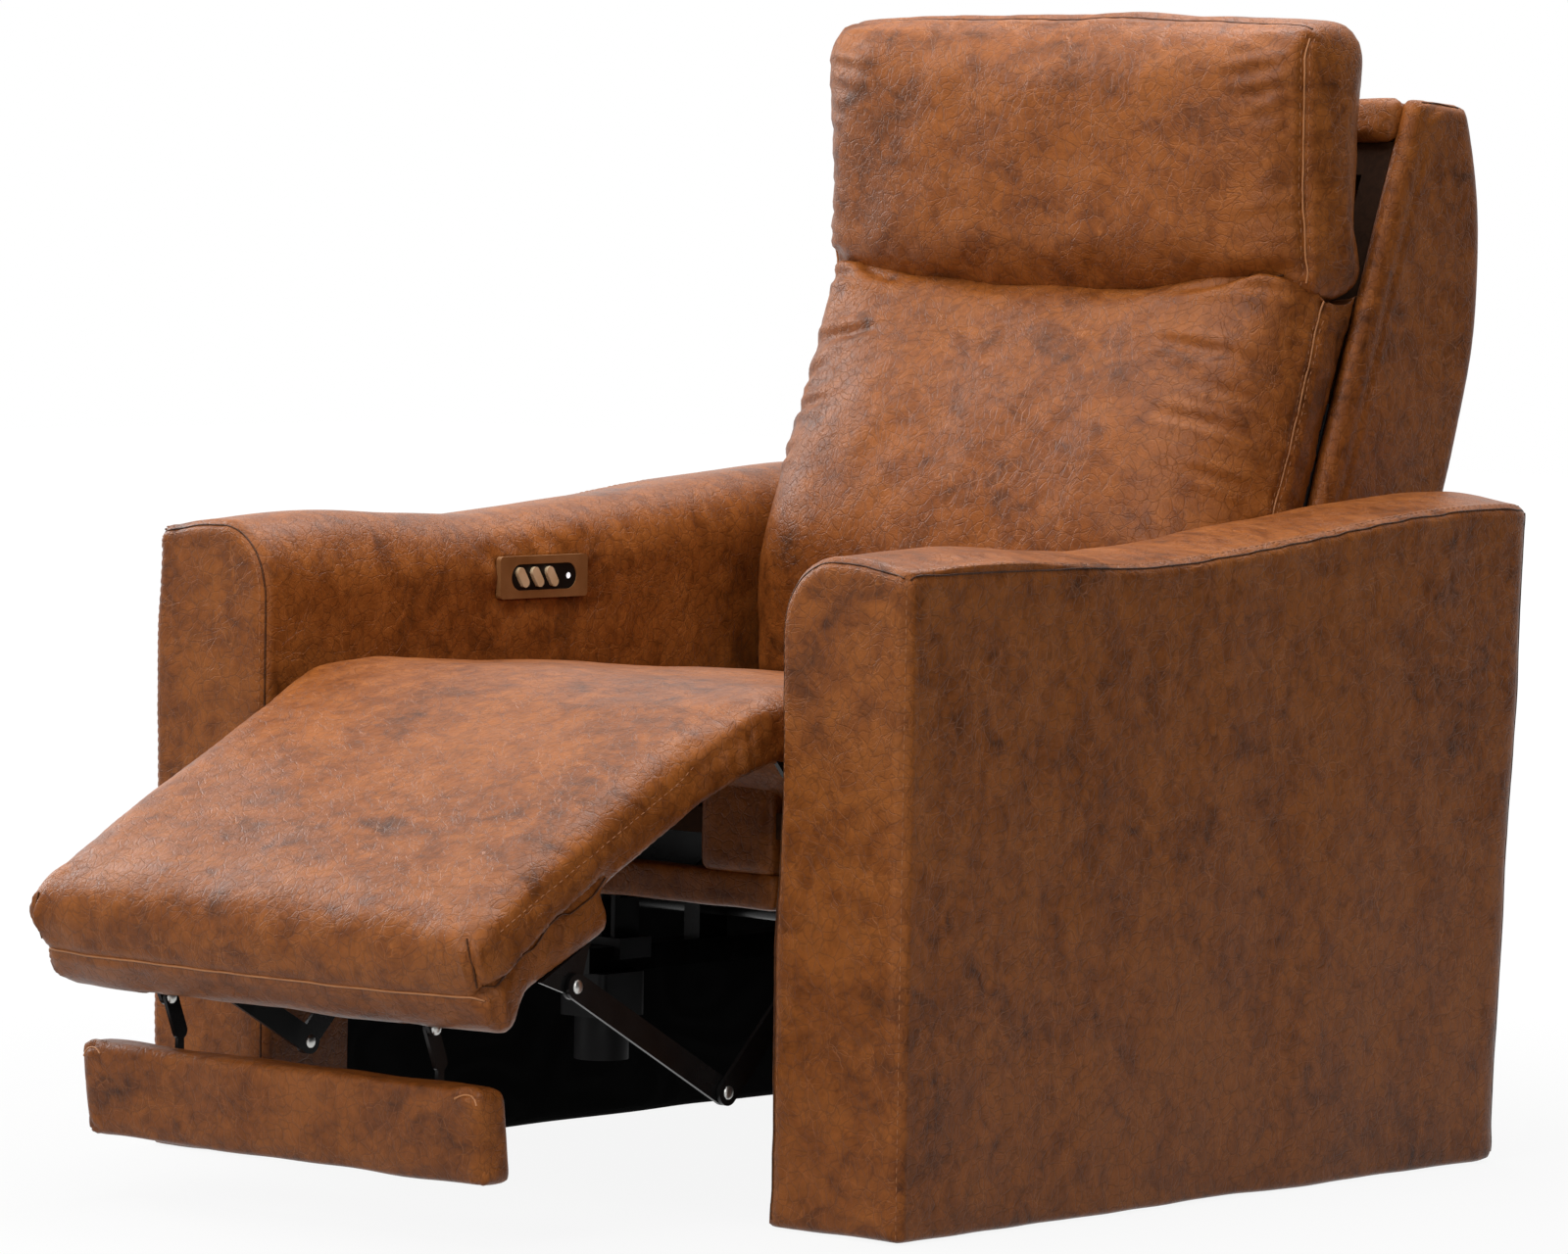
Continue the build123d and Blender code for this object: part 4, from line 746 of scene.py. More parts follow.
def soft_section(half, low, high, top_round, low_round, crown, drawn=0.0, count=96):
    """A cushion's section across X: rounded corners, a crowned top, sides drawn in between."""
    corners = [(half - low_round, low + low_round, low_round, -90.0),
               (half - top_round, high - top_round, top_round, 0.0),
               (-half + top_round, high - top_round, top_round, 90.0),
               (-half + low_round, low + low_round, low_round, 180.0)]
    outline = []
    for x, h, radius, first in corners:
        for angle in np.radians(np.linspace(first, first + 90.0, 9)):
            outline.append((x + radius * math.cos(angle), h + radius * math.sin(angle), 0.0))
    outline.append(outline[0])
    line, _ = dense(outline, 1.0)
    pick = np.linspace(0, len(line) - 1, count + 1)[:-1].astype(int)
    points = line[pick][:, :2]
    rise = np.clip((points[:, 1] - low) / max(high - low, 1.0), 0, 1)
    points[:, 1] += crown * rise * np.clip(1 - (points[:, 0] / half) ** 2, 0, 1)
    side = np.abs(points[:, 0]) / half
    points[:, 0] -= np.sign(points[:, 0]) * drawn * hump(rise) * ease(side, 0.9, 1.0)
    return points


def ring(place_on, along, half, low, high, **rounds):
    """A soft section, set at one place along a form."""
    flat = soft_section(half, low, high, **rounds)
    return place_on(flat[:, 0], along, flat[:, 1])


def wrapped_rings(place_on, half, low, high, start, end, edge, swell=0.0):
    """Leather wrapped round a board, with rounded edges."""
    rims = [(start, edge), (start + 0.3 * edge, 0.3 * edge), (start + edge, 0.0)]
    rims += [(along, 0.0) for along in np.linspace(start + 2 * edge, end - 2 * edge, 12)]
    rims += [(end - edge, 0.0), (end - 0.3 * edge, 0.3 * edge), (end, edge)]
    rings = []
    for along, inset in rims:
        crown = swell * hump((along - start) / (end - start))
        rings.append(ring(place_on, along, half - inset, low + inset, high - inset,
                          top_round=edge, low_round=edge, crown=crown))
    return rings


def boxed(front, half, front_edge, rear_edge):
    """A cushion's outline: its front, then its sides and its rear."""
    right = pairs(half, np.linspace(front_edge, rear_edge, 7)[1:])
    rear = pairs(np.linspace(half, -half, 24)[1:-1], rear_edge)
    left = pairs(-half, np.linspace(rear_edge, front_edge, 7)[:-1])
    return np.concatenate([front, right, rear, left])


# Arms
def seam_height(y):
    return ARM_SEAM + ARM_RISE * ease(y, ARM_RISE_FROM, ARM_RISE_TO)


def lean_share(z):
    return (z - ARM_FOOT) / (ARM_SEAM + ARM_RISE)


def arm_outline(y, inset):
    """Points round an arm's section, outer foot first, drawn in by an inset."""
    seam = seam_height(y)
    crown = seam + ARM_CROWN
    start = ARM_INNER + ARM_ROUND
    t = np.linspace(0, 1, 14)
    a = np.linspace(0, math.pi / 2, 14)[1:]
    points = np.concatenate([
        pairs(ARM_OUTER, np.linspace(ARM_FOOT, seam - 4, 22)),
        pairs(ARM_OUTER - (ARM_OUTER - start) * t, seam + ARM_CROWN * np.sin(t * math.pi / 2)),
        pairs(start - ARM_ROUND * np.sin(a), crown - ARM_ROUND * (1 - np.cos(a))),
        pairs(ARM_INNER, np.linspace(crown - ARM_ROUND - 8, ARM_FOOT, 22))])
    return points - square_to(points) * inset


def arm_rings():
    front = [(0.0, 11.0), (1.0, 7.0), (3.0, 3.8), (6.5, 1.2), (11.0, 0.0)]
    body = [(y, 0.0) for y in np.linspace(24.0, ARM_DEPTH - 26.0, 60)]
    rear = [(ARM_DEPTH - 16.0, 0.8), (ARM_DEPTH - 8.0, 3.4), (ARM_DEPTH - 2.5, 8.0), (ARM_DEPTH, 14.0)]
    rings = []
    for y, inset in front + body + rear:
        x, z = arm_outline(y, inset).T
        lean = ARM_LEAN * np.clip(lean_share(z), 0, 1.1)
        rings.append(on_chair(x, y + lean * (y / ARM_DEPTH), z))
    return np.array(rings)


def swollen_top(arm):
    """The padding on an arm's top swells near its front and dips where the arm starts to rise."""
    points = measured(arm)
    x, y, z = points.T
    swell = 7.5 * np.exp(-((y - 130) / 110) ** 2) - 2.0 * np.exp(-((y - 330) / 50) ** 2)
    raised = z + ease(z, ARM_SEAM - 30, ARM_SEAM + 4) * swell
    inside = np.abs(x) < ARM_INNER + 8
    foot_front = 5.0 * ease(raised, 430, 250) * ease(y, 140, 20) * inside
    put(arm.data, spots(on_chair(x - np.sign(x) * foot_front, y, raised)))


def lined_with_painted_shade(arm):
    """Black cloth on the inside of an arm, under the seat: painted shade, standing for the deep shade there.
    """
    arm.data.materials.append(DUST_CLOTH_AND_SHADE)
    for face in arm.data.polygons:
        x, y, z = np.array(face.center) / MM + (0.0, ARM_FRONT, 0.0)
        if abs(x) < ARM_INNER + 6 and y > SHADE_LINING_FROM and z < SHADE_LINING_TOP:
            face.material_index = 1


def seated_switch(arm):
    """Draws the leather in behind the switch plate and dimples it round the plate's rim."""
    points = measured(arm)
    dy = np.abs(points[:, 1] - SWITCH[0]) - BEZEL[0] / 2
    dz = np.abs(points[:, 2] - SWITCH[1]) - BEZEL[1] / 2
    outside = np.hypot(np.maximum(dy, 0), np.maximum(dz, 0))
    inner_side = points[:, 0] > -ARM_INNER - 40
    rim = inner_side & (outside < 60)
    ripple = 1.0 + 0.35 * np.sin(points[:, 1] * 0.11 + 1.0) * np.cos(points[:, 2] * 0.16)
    points[rim, 0] -= (5.0 * ripple * np.exp(-(outside / 22.0) ** 2))[rim]
    behind = inner_side & (dy < -3) & (dz < -3)
    points[behind, 0] = np.minimum(points[behind, 0], -ARM_INNER - 9.0)
    put(arm.data, spots(points))


def made_arm(name, side):
    rings = arm_rings()
    rings[:, :, 0] *= side
    arm = skinned(name, rings, SKIN, 3)
    swollen_top(arm)
    seed = 11 if side > 0 else 12
    uneven(arm, (seed, 190.0, 0.9), (seed + 2, 70.0, 0.25))
    crown = ARM_SEAM + ARM_CROWN
    y = np.linspace(4, ARM_DEPTH - 8, 60)
    seam = seam_height(y)
    top_seam = on_chair(side * ARM_OUTER, y + ARM_LEAN * lean_share(seam) * (y / ARM_DEPTH), seam)
    x = np.linspace(ARM_OUTER - 12, ARM_INNER + ARM_ROUND, 12)
    a = np.linspace(0, math.pi / 2, 14)[1:]
    rim = np.concatenate([
        pairs([ARM_OUTER - 6], ARM_SEAM),
        pairs(x, ARM_SEAM + ARM_CROWN * np.sin((ARM_OUTER - x) / ARM_WIDTH_TOP * math.pi / 2)),
        pairs(ARM_INNER + ARM_ROUND * (1 - np.sin(a)), crown - ARM_ROUND * (1 - np.cos(a))),
        pairs(ARM_INNER, np.linspace(crown - ARM_ROUND - 12, ARM_FOOT + 8, 30))])
    front_edge = on_chair(side * rim[:, 0], 2.0, rim[:, 1])
    corner = on_chair(side * (ARM_OUTER - 1.5), 1.5, np.linspace(ARM_SEAM - 4, ARM_FOOT + 6, 40))
    z = np.linspace(ARM_FOOT + 8, ARM_SEAM + ARM_RISE - 6, 40)
    rear_corner, rear_inner = (on_chair(side * edge, ARM_DEPTH - 3 + ARM_LEAN * lean_share(z), z)
                               for edge in (ARM_OUTER - 2, ARM_INNER + 3))
    y = np.array((4, 20, 44))
    foot = on_chair(side * (ARM_INNER + 2), y, ARM_FOOT + 34 - 0.5 * y)
    grooves = [
        groove(top_seam, 4.5, 2.2, 0.7, gathers=(21, 60.0, 26.0, 0.5)),
        groove(front_edge, 4.5, 1.8, 0.6, gathers=(22, 55.0, 20.0, 0.5)),
        groove(corner, 4.0, 1.4, 0.5, gathers=(23, 80.0, 16.0, 0.4)),
        groove(rear_corner, 4.0, 1.4),
        groove(rear_inner, 4.0, 1.4),
        groove(foot, 5.0, 1.8, taper=True)]
    if side > 0:
        grooves.append(groove([(340, 36, 40), (334, 60, 52), (329, 90, 60)], 6.0, 1.6, taper=True))
    pressed(arm, grooves)
    if side < 0:
        seated_switch(arm)
    # Black on the arm's inside under the seat: painted shade
    lined_with_painted_shade(arm)
    panels = ("front_panel", "inside_panel", "outside_panel", "top_pad")
    upholstered(arm, "base", 0.9, *(f"{name}_{panel}" for panel in panels))
    sewn(arm, "base", top_seam, rows=(-TOP_ROW_OFFSET * side,))
    sewn(arm, "base", front_edge, rows=(-FRONT_ROW_OFFSET * side,))
    sewn(arm, "base", corner, seam=False, rows=(0.0,))
    sewn(arm, "base", rear_corner)
    sewn(arm, "base", rear_inner)


made_arm("left_arm", 1.0)
made_arm("right_arm", -1.0)


# Seat and footrest: one cover from the back of the seat, over the knee, to the foot end
def pad_half(along):
    """Half the footrest's width, which grows towards the knee."""
    return PAD_HALF + (KNEE_HALF - PAD_HALF) * ease(along, 110, 20)


def pad_dip(along):
    return 6.0 * ease(along, 300, PAD_LENGTH - 60)


def chaise_rings():
    rings = []
    for y in [SEAT_REAR, SEAT_REAR - 6, SEAT_REAR - 20, *np.linspace(SEAT_REAR - 45, 150, 20)]:
        share = (y - SEAT_CREST_AT) / (SEAT_REAR - SEAT_CREST_AT)
        end = ease(y, SEAT_REAR - 40, SEAT_REAR)
        high = SEAT_CREST - SEAT_FALL * share - 14.0 * end
        crown = 10.0 * hump(share) + 1.0
        rings.append(ring(on_chair, y, SEAT_HALF - 5 * end, SEAT_DECK, high,
                          top_round=20.0, low_round=10.0, crown=crown))
    for y in np.linspace(128, 46, 8):
        share = ease(y, 110, 46)
        half = SEAT_HALF + (KNEE_HALF - SEAT_HALF) * ease(y, 128, 80)
        low = SEAT_DECK + 4 + (KNEE[1] + PAD_UNDER - SEAT_DECK - 12) * share
        rings.append(ring(on_chair, y, half, low, SEAT_CREST + 2.0 * share,
                          top_round=20.0, low_round=9.0, crown=2.5))
    for turn in np.linspace(0, FOOT_SLOPE, 7):
        knee = leaning(KNEE, -turn)
        rings.append(ring(knee, 0.0, KNEE_HALF, PAD_UNDER - 4, PAD_TOP + 2.0,
                          top_round=19.0, low_round=9.0, crown=2.5))
    for along in np.linspace(14, PAD_LENGTH - 60, 22):
        share = along / PAD_LENGTH
        high = PAD_TOP + 2.0 + 8.0 * hump(share * 1.05)
        half = pad_half(along) - 3.0 * hump(share)
        low = PAD_UNDER - 4.0 * ease(along, 60, 14) - pad_dip(along)
        rings.append(ring(on_slope, along, half, low, high,
                          top_round=17.0, low_round=7.0, crown=3.0 * hump(share) + 2.0, drawn=3.0))
    for angle in np.radians((14, 28, 42, 54, 64, 73, 80, 86, 90)):
        along = PAD_LENGTH - 54 + 53 * math.sin(angle)
        drop = 42 * (1 - math.cos(angle))
        high = PAD_TOP + 5.5 - 0.72 * drop
        low = PAD_UNDER - 6.0
        rings.append(ring(on_slope, along, PAD_HALF - 0.10 * drop, low, high,
                          top_round=17.0 - 0.20 * drop, low_round=3.0, crown=2.0))
    return rings


def board_rings():
    """The wrapped board under the pad: flush with the pad's front, set in along its sides."""
    rims = [(BOARD_START, 10.0), (BOARD_START + 3, 4.0), (BOARD_START + 10, 0.0)]
    rims += [(along, 0.0) for along in np.linspace(BOARD_START + 24, BOARD_END - 34, 12)]
    rims += [(BOARD_END - 24, 1.0), (BOARD_END - 16, 5.0), (BOARD_END - 8, 13.0), (BOARD_END - 2, 22.0),
             (BOARD_END, 26.0)]
    rings = []
    for along, inset in rims:
        half = BOARD_HALF + 13.0 * ease(along, BOARD_END - 70, BOARD_END - 6) - 0.15 * inset
        under = BOARD_UNDER + inset - 15.0 * ease(along, BOARD_END - 70, BOARD_END - 24)
        rings.append(ring(on_slope, along, half, under, PAD_UNDER + 4.0,
                          top_round=4.0, low_round=8.0, crown=0.0))
    return rings


def joined(piece, other):
    """Puts a second rough form into the first, to be skinned over together."""
    work = bmesh.new()
    work.from_mesh(piece.data)
    work.from_mesh(other.data)
    work.to_mesh(piece.data)
    work.free()
    spare = other.data
    bpy.data.objects.remove(other)
    bpy.data.meshes.remove(spare)


def notched_board(piece):
    """Two shallow channels under the board, which the flap's arms fold into."""
    points = measured(piece)
    along, height = on_slope.read(points)
    channel = np.abs(np.abs(points[:, 0]) - CHANNEL_X) < CHANNEL_HALF
    channel &= (along > BOARD_START) & (along < CHANNEL_END)
    height = np.where(channel, np.maximum(height, CHANNEL_ROOF), height)
    put(piece.data, spots(on_slope(points[:, 0], along, height)))


chaise = lofted("seat_and_footrest_cover", chaise_rings())
joined(chaise, lofted("board_form", board_rings()))
reskinned(chaise, SKIN, 5)
notched_board(chaise)
stuffed(chaise, 7.0, 1.2)
uneven(chaise, (31, 170.0, 0.9), (32, 60.0, 0.3))
pad_front = on_slope(np.linspace(-PAD_HALF + 4, PAD_HALF - 4, 40), PAD_LENGTH, PAD_UNDER - 8)
along = np.linspace(PAD_LENGTH - 4, BOARD_START + 4, 30)
pad_sides = [on_slope(side * (PAD_HALF - 3), along, PAD_UNDER - 1 - pad_dip(along)) for side in SIDES]
along = np.linspace(PAD_LENGTH - 46, 10, 40)
pad_edges = [on_slope(side * (pad_half(along) - 1), along, PAD_TOP - 14) for side in SIDES]
t = np.linspace(0, 1, 6)
pad_tucks = [on_slope(side * (PAD_HALF - 14 + 9 * t), PAD_LENGTH - 14 + 16 * t, 22 - 44 * t)
             for side in SIDES]
chaise_grooves = [groove(pad_front, 4.5, 1.4, 0.7, gathers=(33, 80.0, 24.0, 0.8))]
for index, path in enumerate(pad_sides):
    chaise_grooves.append(groove(path, 5.0, 9.0, gathers=(34 + index, 46.0, 24.0, 1.2)))
for index, path in enumerate(pad_edges):
    chaise_grooves.append(groove(path, 5.0, 1.0, 0.5, gathers=(36 + index, 70.0, 24.0, 0.7)))
for path in pad_tucks:
    chaise_grooves.append(groove(path, 3.6, 6.5, 3.4, True))
# Creases at the knee's sides: where each starts along the slope, how far it leans and its depth
KNEE_CREASES = ((26, 12, 2.2), (8, 22, 3.2), (-10, 30, 3.6), (-26, 34, 3.0), (48, 10, 1.6))
t = np.linspace(0, 1, 5)
for side in SIDES:
    fold = traced(on_slope, side, (282, 408, -36), (281, 412, -52), (274, 412, -70))
    chaise_grooves.append(groove(fold, 4.0, 3.6, 2.2, True))
    for start, lean, depth in KNEE_CREASES:
        crease = on_slope(side * (KNEE_HALF + 1), start + lean * t, 12 - 34 * t)
        chaise_grooves.append(groove(crease, 4.6, depth, 1.8, True))
pressed(chaise, chaise_grooves)
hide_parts("seat_cushion", "footrest_pad", "footrest_board")
sewn(chaise, "footrest", pad_front, folded=True)
for path in pad_sides + pad_tucks:
    sewn(chaise, "footrest", path)
for path in pad_edges:
    sewn(chaise, "footrest", path[:31], seam=False, rows=(0.0,))
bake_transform(chaise)

# Flap, with folded corners
flap_rings = wrapped_rings(on_flap, FLAP_HALF, low=0.0, high=FLAP_DEPTH, start=0.0, end=FLAP_HEIGHT,
                           edge=7.0, swell=2.0)
flap = skinned("flap_cover", flap_rings, FINE_SKIN, 4, (51, 110.0, 0.8))
flap_tucks = [traced(on_flap, side, (226, 10, 40), (234, 3, 38), (246, 3, 38), (252, 14, 40))
              for side in SIDES]
flap_grooves = [groove(path, 3.4, 3.4, 2.2, True) for path in flap_tucks]
for side in SIDES:
    tuck = traced(on_flap, side, (238, 86, FLAP_FRONT), (248, 80, FLAP_FRONT), (254, 70, FLAP_FRONT))
    flap_grooves.append(groove(tuck, 3.4, 2.6, 1.6, True))
flap_grooves.append(groove(on_flap(np.linspace(-244, 244, 30), 80.0, FLAP_FRONT), 4.0, 0.9))
pressed(flap, flap_grooves)
upholstered(flap, "flap", 0.95, "flap_panel")
for path in flap_tucks:
    sewn(flap, "flap", path, folded=True)

# Leather rail under the seat front, its end blocks, and the rail at the rear
rail_rings = wrapped_rings(on_chair, FLAP_HALF, low=277.5, high=313.0, start=83.4, end=110.5, edge=5.0)
rail = skinned("front_rail_cover", rail_rings, FINE_SKIN, 3, (61, 80.0, 0.5))
upholstered(rail, "base", 0.95, "front_rail")
block_rings = wrapped_rings(on_chair, half=46.0, low=311.0, high=404.0, start=78.0, end=108.0, edge=7.0)
for name, middle in (("left_seat_block", 210.0), ("right_seat_block", -210.0)):
    block = skinned(name, np.array(block_rings) + (middle, 0.0, 0.0), FINE_SKIN, 3)
    upholstered(block, "base", 0.95)
rear_rail_rings = wrapped_rings(on_chair, half=327.0, low=19.4, high=90.6, start=849.2, end=878.6, edge=6.0)
rear_rail = skinned("rear_rail_cover", rear_rail_rings, SKIN, 3)
upholstered(rear_rail, "base", 0.95, "rear_rail")


# Back cushion: a full front panel between two side seams, hollowed under the headrest
def back_half(up):
    return BACK_HALF - 12.0 * ease((up - BACK_LOW) / (BACK_TOP - BACK_LOW), 0.25, 0.0)


def back_rings():
    rings = []
    ups = np.concatenate([BACK_LOW + np.array([0, 5, 14]), np.linspace(BACK_LOW + 28, BACK_TOP - 24, 28),
                          BACK_TOP - np.array([16, 9, 4, 0])])
    xs = np.linspace(-1, 1, 61)
    for up in ups:
        share = (up - BACK_LOW) / (BACK_TOP - BACK_LOW)
        full = 0.55 + 0.45 * ease(share, 0.0, 0.35) - 0.33 * ease(share, 0.50, 1.0)
        tip = math.sqrt(max((share - 0.95) / 0.05, 0.0)) ** 3 + 0.8 * ease(share, 0.07, 0.0)
        half = back_half(up) - 3.0 * tip
        depth = (BACK_CROWN + BACK_SEAM) * full * (1 - 0.2 * tip)
        bulge = (1 - np.abs(xs) ** (5.0 + 5.0 * ease(share, 0.6, 0.95))) ** 0.50
        flat = boxed(pairs(xs * half, BACK_SEAM - depth * bulge), half, BACK_SEAM, WING_FRONT)
        sag = LIP_SAG * (1 - (flat[:, 0] / BACK_HALF) ** 2) * ease(share, 0.55, 1.0)
        rings.append(on_back(flat[:, 0], flat[:, 1], up - sag))
    return rings


def corner_share(x):
    """The headrest's foot rounds up towards its two lower corners."""
    return 1 - 0.55 * ease(np.abs(x), 225, 305)


def roll_front(x):
    """How far the headrest's foot reaches in front of its hinge, less towards its ends."""
    share = np.clip(np.abs(x) / HEAD_HALF, 0.0, 1.0)
    return HEAD_EDGE + (HEAD_ROLL - HEAD_EDGE) * (1 - share ** 5.0) ** 0.45


def hollowed(piece, clearance):
    """Keeps a cover's top out of the round that the headrest's foot turns in."""
    points = measured(piece)
    x = points[:, 0]
    through, up = on_back.read(points)
    head_through, head_up = on_back.read(np.array((0.0, *HEAD_PIVOT)))
    off = through - head_through
    hidden = (off > 0) & (np.abs(x) < 235)
    radius = np.where(off < 0, roll_front(x), HEAD_ROLL) + clearance
    floor = head_up - corner_share(x) * np.sqrt(np.maximum(radius ** 2 - off ** 2, 0.0))
    floor = np.where(hidden, np.minimum(floor, head_up - 64.0), floor)
    up = np.where(off > -radius, np.minimum(up, floor), up)
    put(piece.data, spots(on_back(x, through, up)))


back = skinned("back_cushion_cover", back_rings(), SKIN, 5)
hollowed(back, 2.0)
smoothed(back.data, 4)
stuffed(back, 10.0, 1.6)
hollowed(back, 1.0)
uneven(back, (71, 140.0, 1.8), (72, 55.0, 0.45))
ups = np.linspace(BACK_LOW + 12, BACK_TOP - 30, 60)
back_seams = [on_back(side * (back_half(ups) - 1), BACK_SEAM - 4, ups) for side in SIDES]
back_grooves = []
for index, path in enumerate(back_seams):
    back_grooves.append(groove(path, 5.0, 2.4, 1.2, gathers=(73 + index, 34.0, 48.0, 1.7)))
# Creases from a cushion's sides: where each starts, how far it reaches, its drop and its depth
BACK_CREASES = ((462, 130, -26, 4.6), (446, 110, -10, 3.8), (474, 90, -30, 3.6), (372, 130, 4, 4.6),
                (360, 100, 10, 3.4), (296, 100, 2, 3.2), (330, 70, 8, 2.2), (244, 60, 6, 2.0))
HEAD_CREASES = ((226, 70, -8, 2.6), (206, 80, -14, 2.4), (188, 50, -16, 2.0), (236, 56, 2, 2.6),
                (160, 40, -8, 1.4))
t = np.linspace(0, 1, 7)
for side in SIDES:
    for up, reach, drop, depth in BACK_CREASES:
        xs = np.linspace(back_half(up) - 10, back_half(up) - 10 - reach, 7)
        crease = on_back(side * xs, -64 - 44 * t ** 0.6, up + drop * t)
        back_grooves.append(groove(crease, 5.5, depth, 2.0, True))
pressed(back, back_grooves)
upholstered(back, "back", 0.7, "back_cushion")
for side, path in zip(SIDES, back_seams):
    sewn(back, "back", path, folded=True)
    sewn(back, "back", path[:-3], seam=False, rows=(ROW_OFFSET * side, -ROW_OFFSET * side))
tuple(on_back(0.0, 0.0, 1.0) - on_back(0.0, 0.0, 0.0))
tuple(spots(on_back(0.0, 0.0, BACK_LOW)))
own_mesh(back)


# Headrest: a full cushion that rolls under at its foot
def fold_height(share):
    """How high above its hinge the headrest folds over the back, lowest in the middle."""
    return FOLD_SIDE - FOLD_SAG * (1 - share ** 2)


def head_rings():
    rings = []
    shoulder = HEAD_HEIGHT - HEAD_TIP
    ups = np.concatenate([HEAD_ROLL * np.array([-0.995, -0.95, -0.86, -0.72, -0.55, -0.35, -0.15]),
                          np.linspace(4, shoulder, 34),
                          shoulder + HEAD_TIP * np.sin(np.radians((22, 42, 60, 76, 90)))])
    xs = np.linspace(-1, 1, 61)
    fold = fold_height(xs)
    bulge = (1 - np.abs(xs) ** 5.0) ** 0.45
    for up in ups:
        under = math.sqrt(max(1 - (min(up, 0.0) / HEAD_ROLL) ** 2, 0.01))
        over = max(up - shoulder, 0.0)
        tip = HEAD_TIP - math.sqrt(max(HEAD_TIP ** 2 - over ** 2, 0.0))
        share = min(max(up / HEAD_HEIGHT, 0.0), 1.0)
        half = HEAD_HALF - 5.0 * (1 - under) - 0.55 * tip - 3.0 * hump(share)
        front_edge = -HEAD_EDGE * under
        rear_edge = HEAD_ROLL * under - 0.5 * tip + 7.0 * ease(up, 40, 120)
        full = 25.0 * ease(up, fold - 6, fold + 22) * (1 - 0.40 * ease(share, 0.4, 1.0))
        pinch = 10.0 * np.exp(-((up - fold + 4) / 8.0) ** 2)
        depth = np.maximum((HEAD_ROLL - HEAD_EDGE) * under + full - pinch - 0.95 * tip, 2.0)
        front = pairs(xs * half, front_edge - depth * bulge + 0.4 * tip)
        flat = boxed(front, half, front_edge + 0.4 * tip, rear_edge)
        lift = corner_share(flat[:, 0]) if up < 0 else 1.0
        rings.append(on_head(flat[:, 0], flat[:, 1], up * lift))
    return rings


head = skinned("headrest_cover", head_rings(), SKIN, 4)
stuffed(head, 8.0, 1.6)
uneven(head, (81, 130.0, 1.5), (82, 55.0, 0.4))
ups = np.linspace(-12, HEAD_HEIGHT - 14, 40)
seam_x = HEAD_HALF - 4 - 3 * hump(ups / HEAD_HEIGHT)
head_seams = [on_head(side * seam_x, -33.0 + 0.5 * np.maximum(ups - 215, 0), ups) for side in SIDES]
head_top = on_head(np.linspace(-HEAD_HALF + 10, HEAD_HALF - 10, 50), -14.0, HEAD_HEIGHT - 2)
head_grooves = [groove(head_top, 5.0, 2.0, 0.8, gathers=(83, 60.0, 30.0, 0.7))]
for index, path in enumerate(head_seams):
    head_grooves.append(groove(path, 5.0, 2.2, 1.0, gathers=(84 + index, 27.0, 46.0, 2.0)))
t = np.linspace(0, 1, 5)
for side in SIDES:
    for up, reach, drop, depth in HEAD_CREASES:
        xs = np.linspace(HEAD_HALF - 12, HEAD_HALF - 12 - reach, 5)
        head_grooves.append(groove(on_head(side * xs, -48 - 14 * t, up + drop * t), 5.0, depth, 1.2, True))
pressed(head, head_grooves)
upholstered(head, "headrest", 0.8, "headrest_cushion", "headrest_board")
sewn(head, "headrest", head_top)
# A dark seam line laid in the fold where the headrest meets the back: painted shade of that crease
share = np.linspace(-0.93, 0.93, 60)
sewn(head, "headrest", on_head(share * HEAD_HALF, -50.0, fold_height(share) - 4))
for side, path in zip(SIDES, head_seams):
    sewn(head, "headrest", path, rows=(ROW_OFFSET * side, -ROW_OFFSET * side), folded=True)


# Wings and the outside of the back
def shell_profile(inset):
    """The side outline of the back: straight behind, then rounding over to its top front."""
    rear = SHELL_REAR - inset
    bend = np.array((rear, SHELL_BEND))
    top = np.array((SHELL_TOP[0] - inset / 2, SHELL_TOP[1] - inset))
    belly = np.array((rear - 23.5, SHELL_BEND + 0.56 * (SHELL_TOP[1] - SHELL_BEND)))
    t = np.linspace(0, 1, 16)[1:, None]
    control = 2 * belly - 0.5 * (bend + top)
    curve = (1 - t) ** 2 * bend + 2 * t * (1 - t) * control + t * t * top
    straight = pairs(rear, np.linspace(SHELL_LOW, SHELL_BEND, 22))
    t = np.linspace(0, 1, 8)[1:]
    over = pairs(top[0] + (WING_FRONT - top[0]) * t, top[1] - SHELL_FRONT_DROP * t)
    return np.concatenate([straight, curve, over])


# Across a wing: x, and how far its outline is drawn in there
WING_SECTION = ((297.0, 5.0), (299.0, 1.0), (303.0, -2.0), (309.0, -3.0), (314.0, -2.0),
                (318.0, 1.5), (321.0, 8.0))
WING_FACE = 318.0


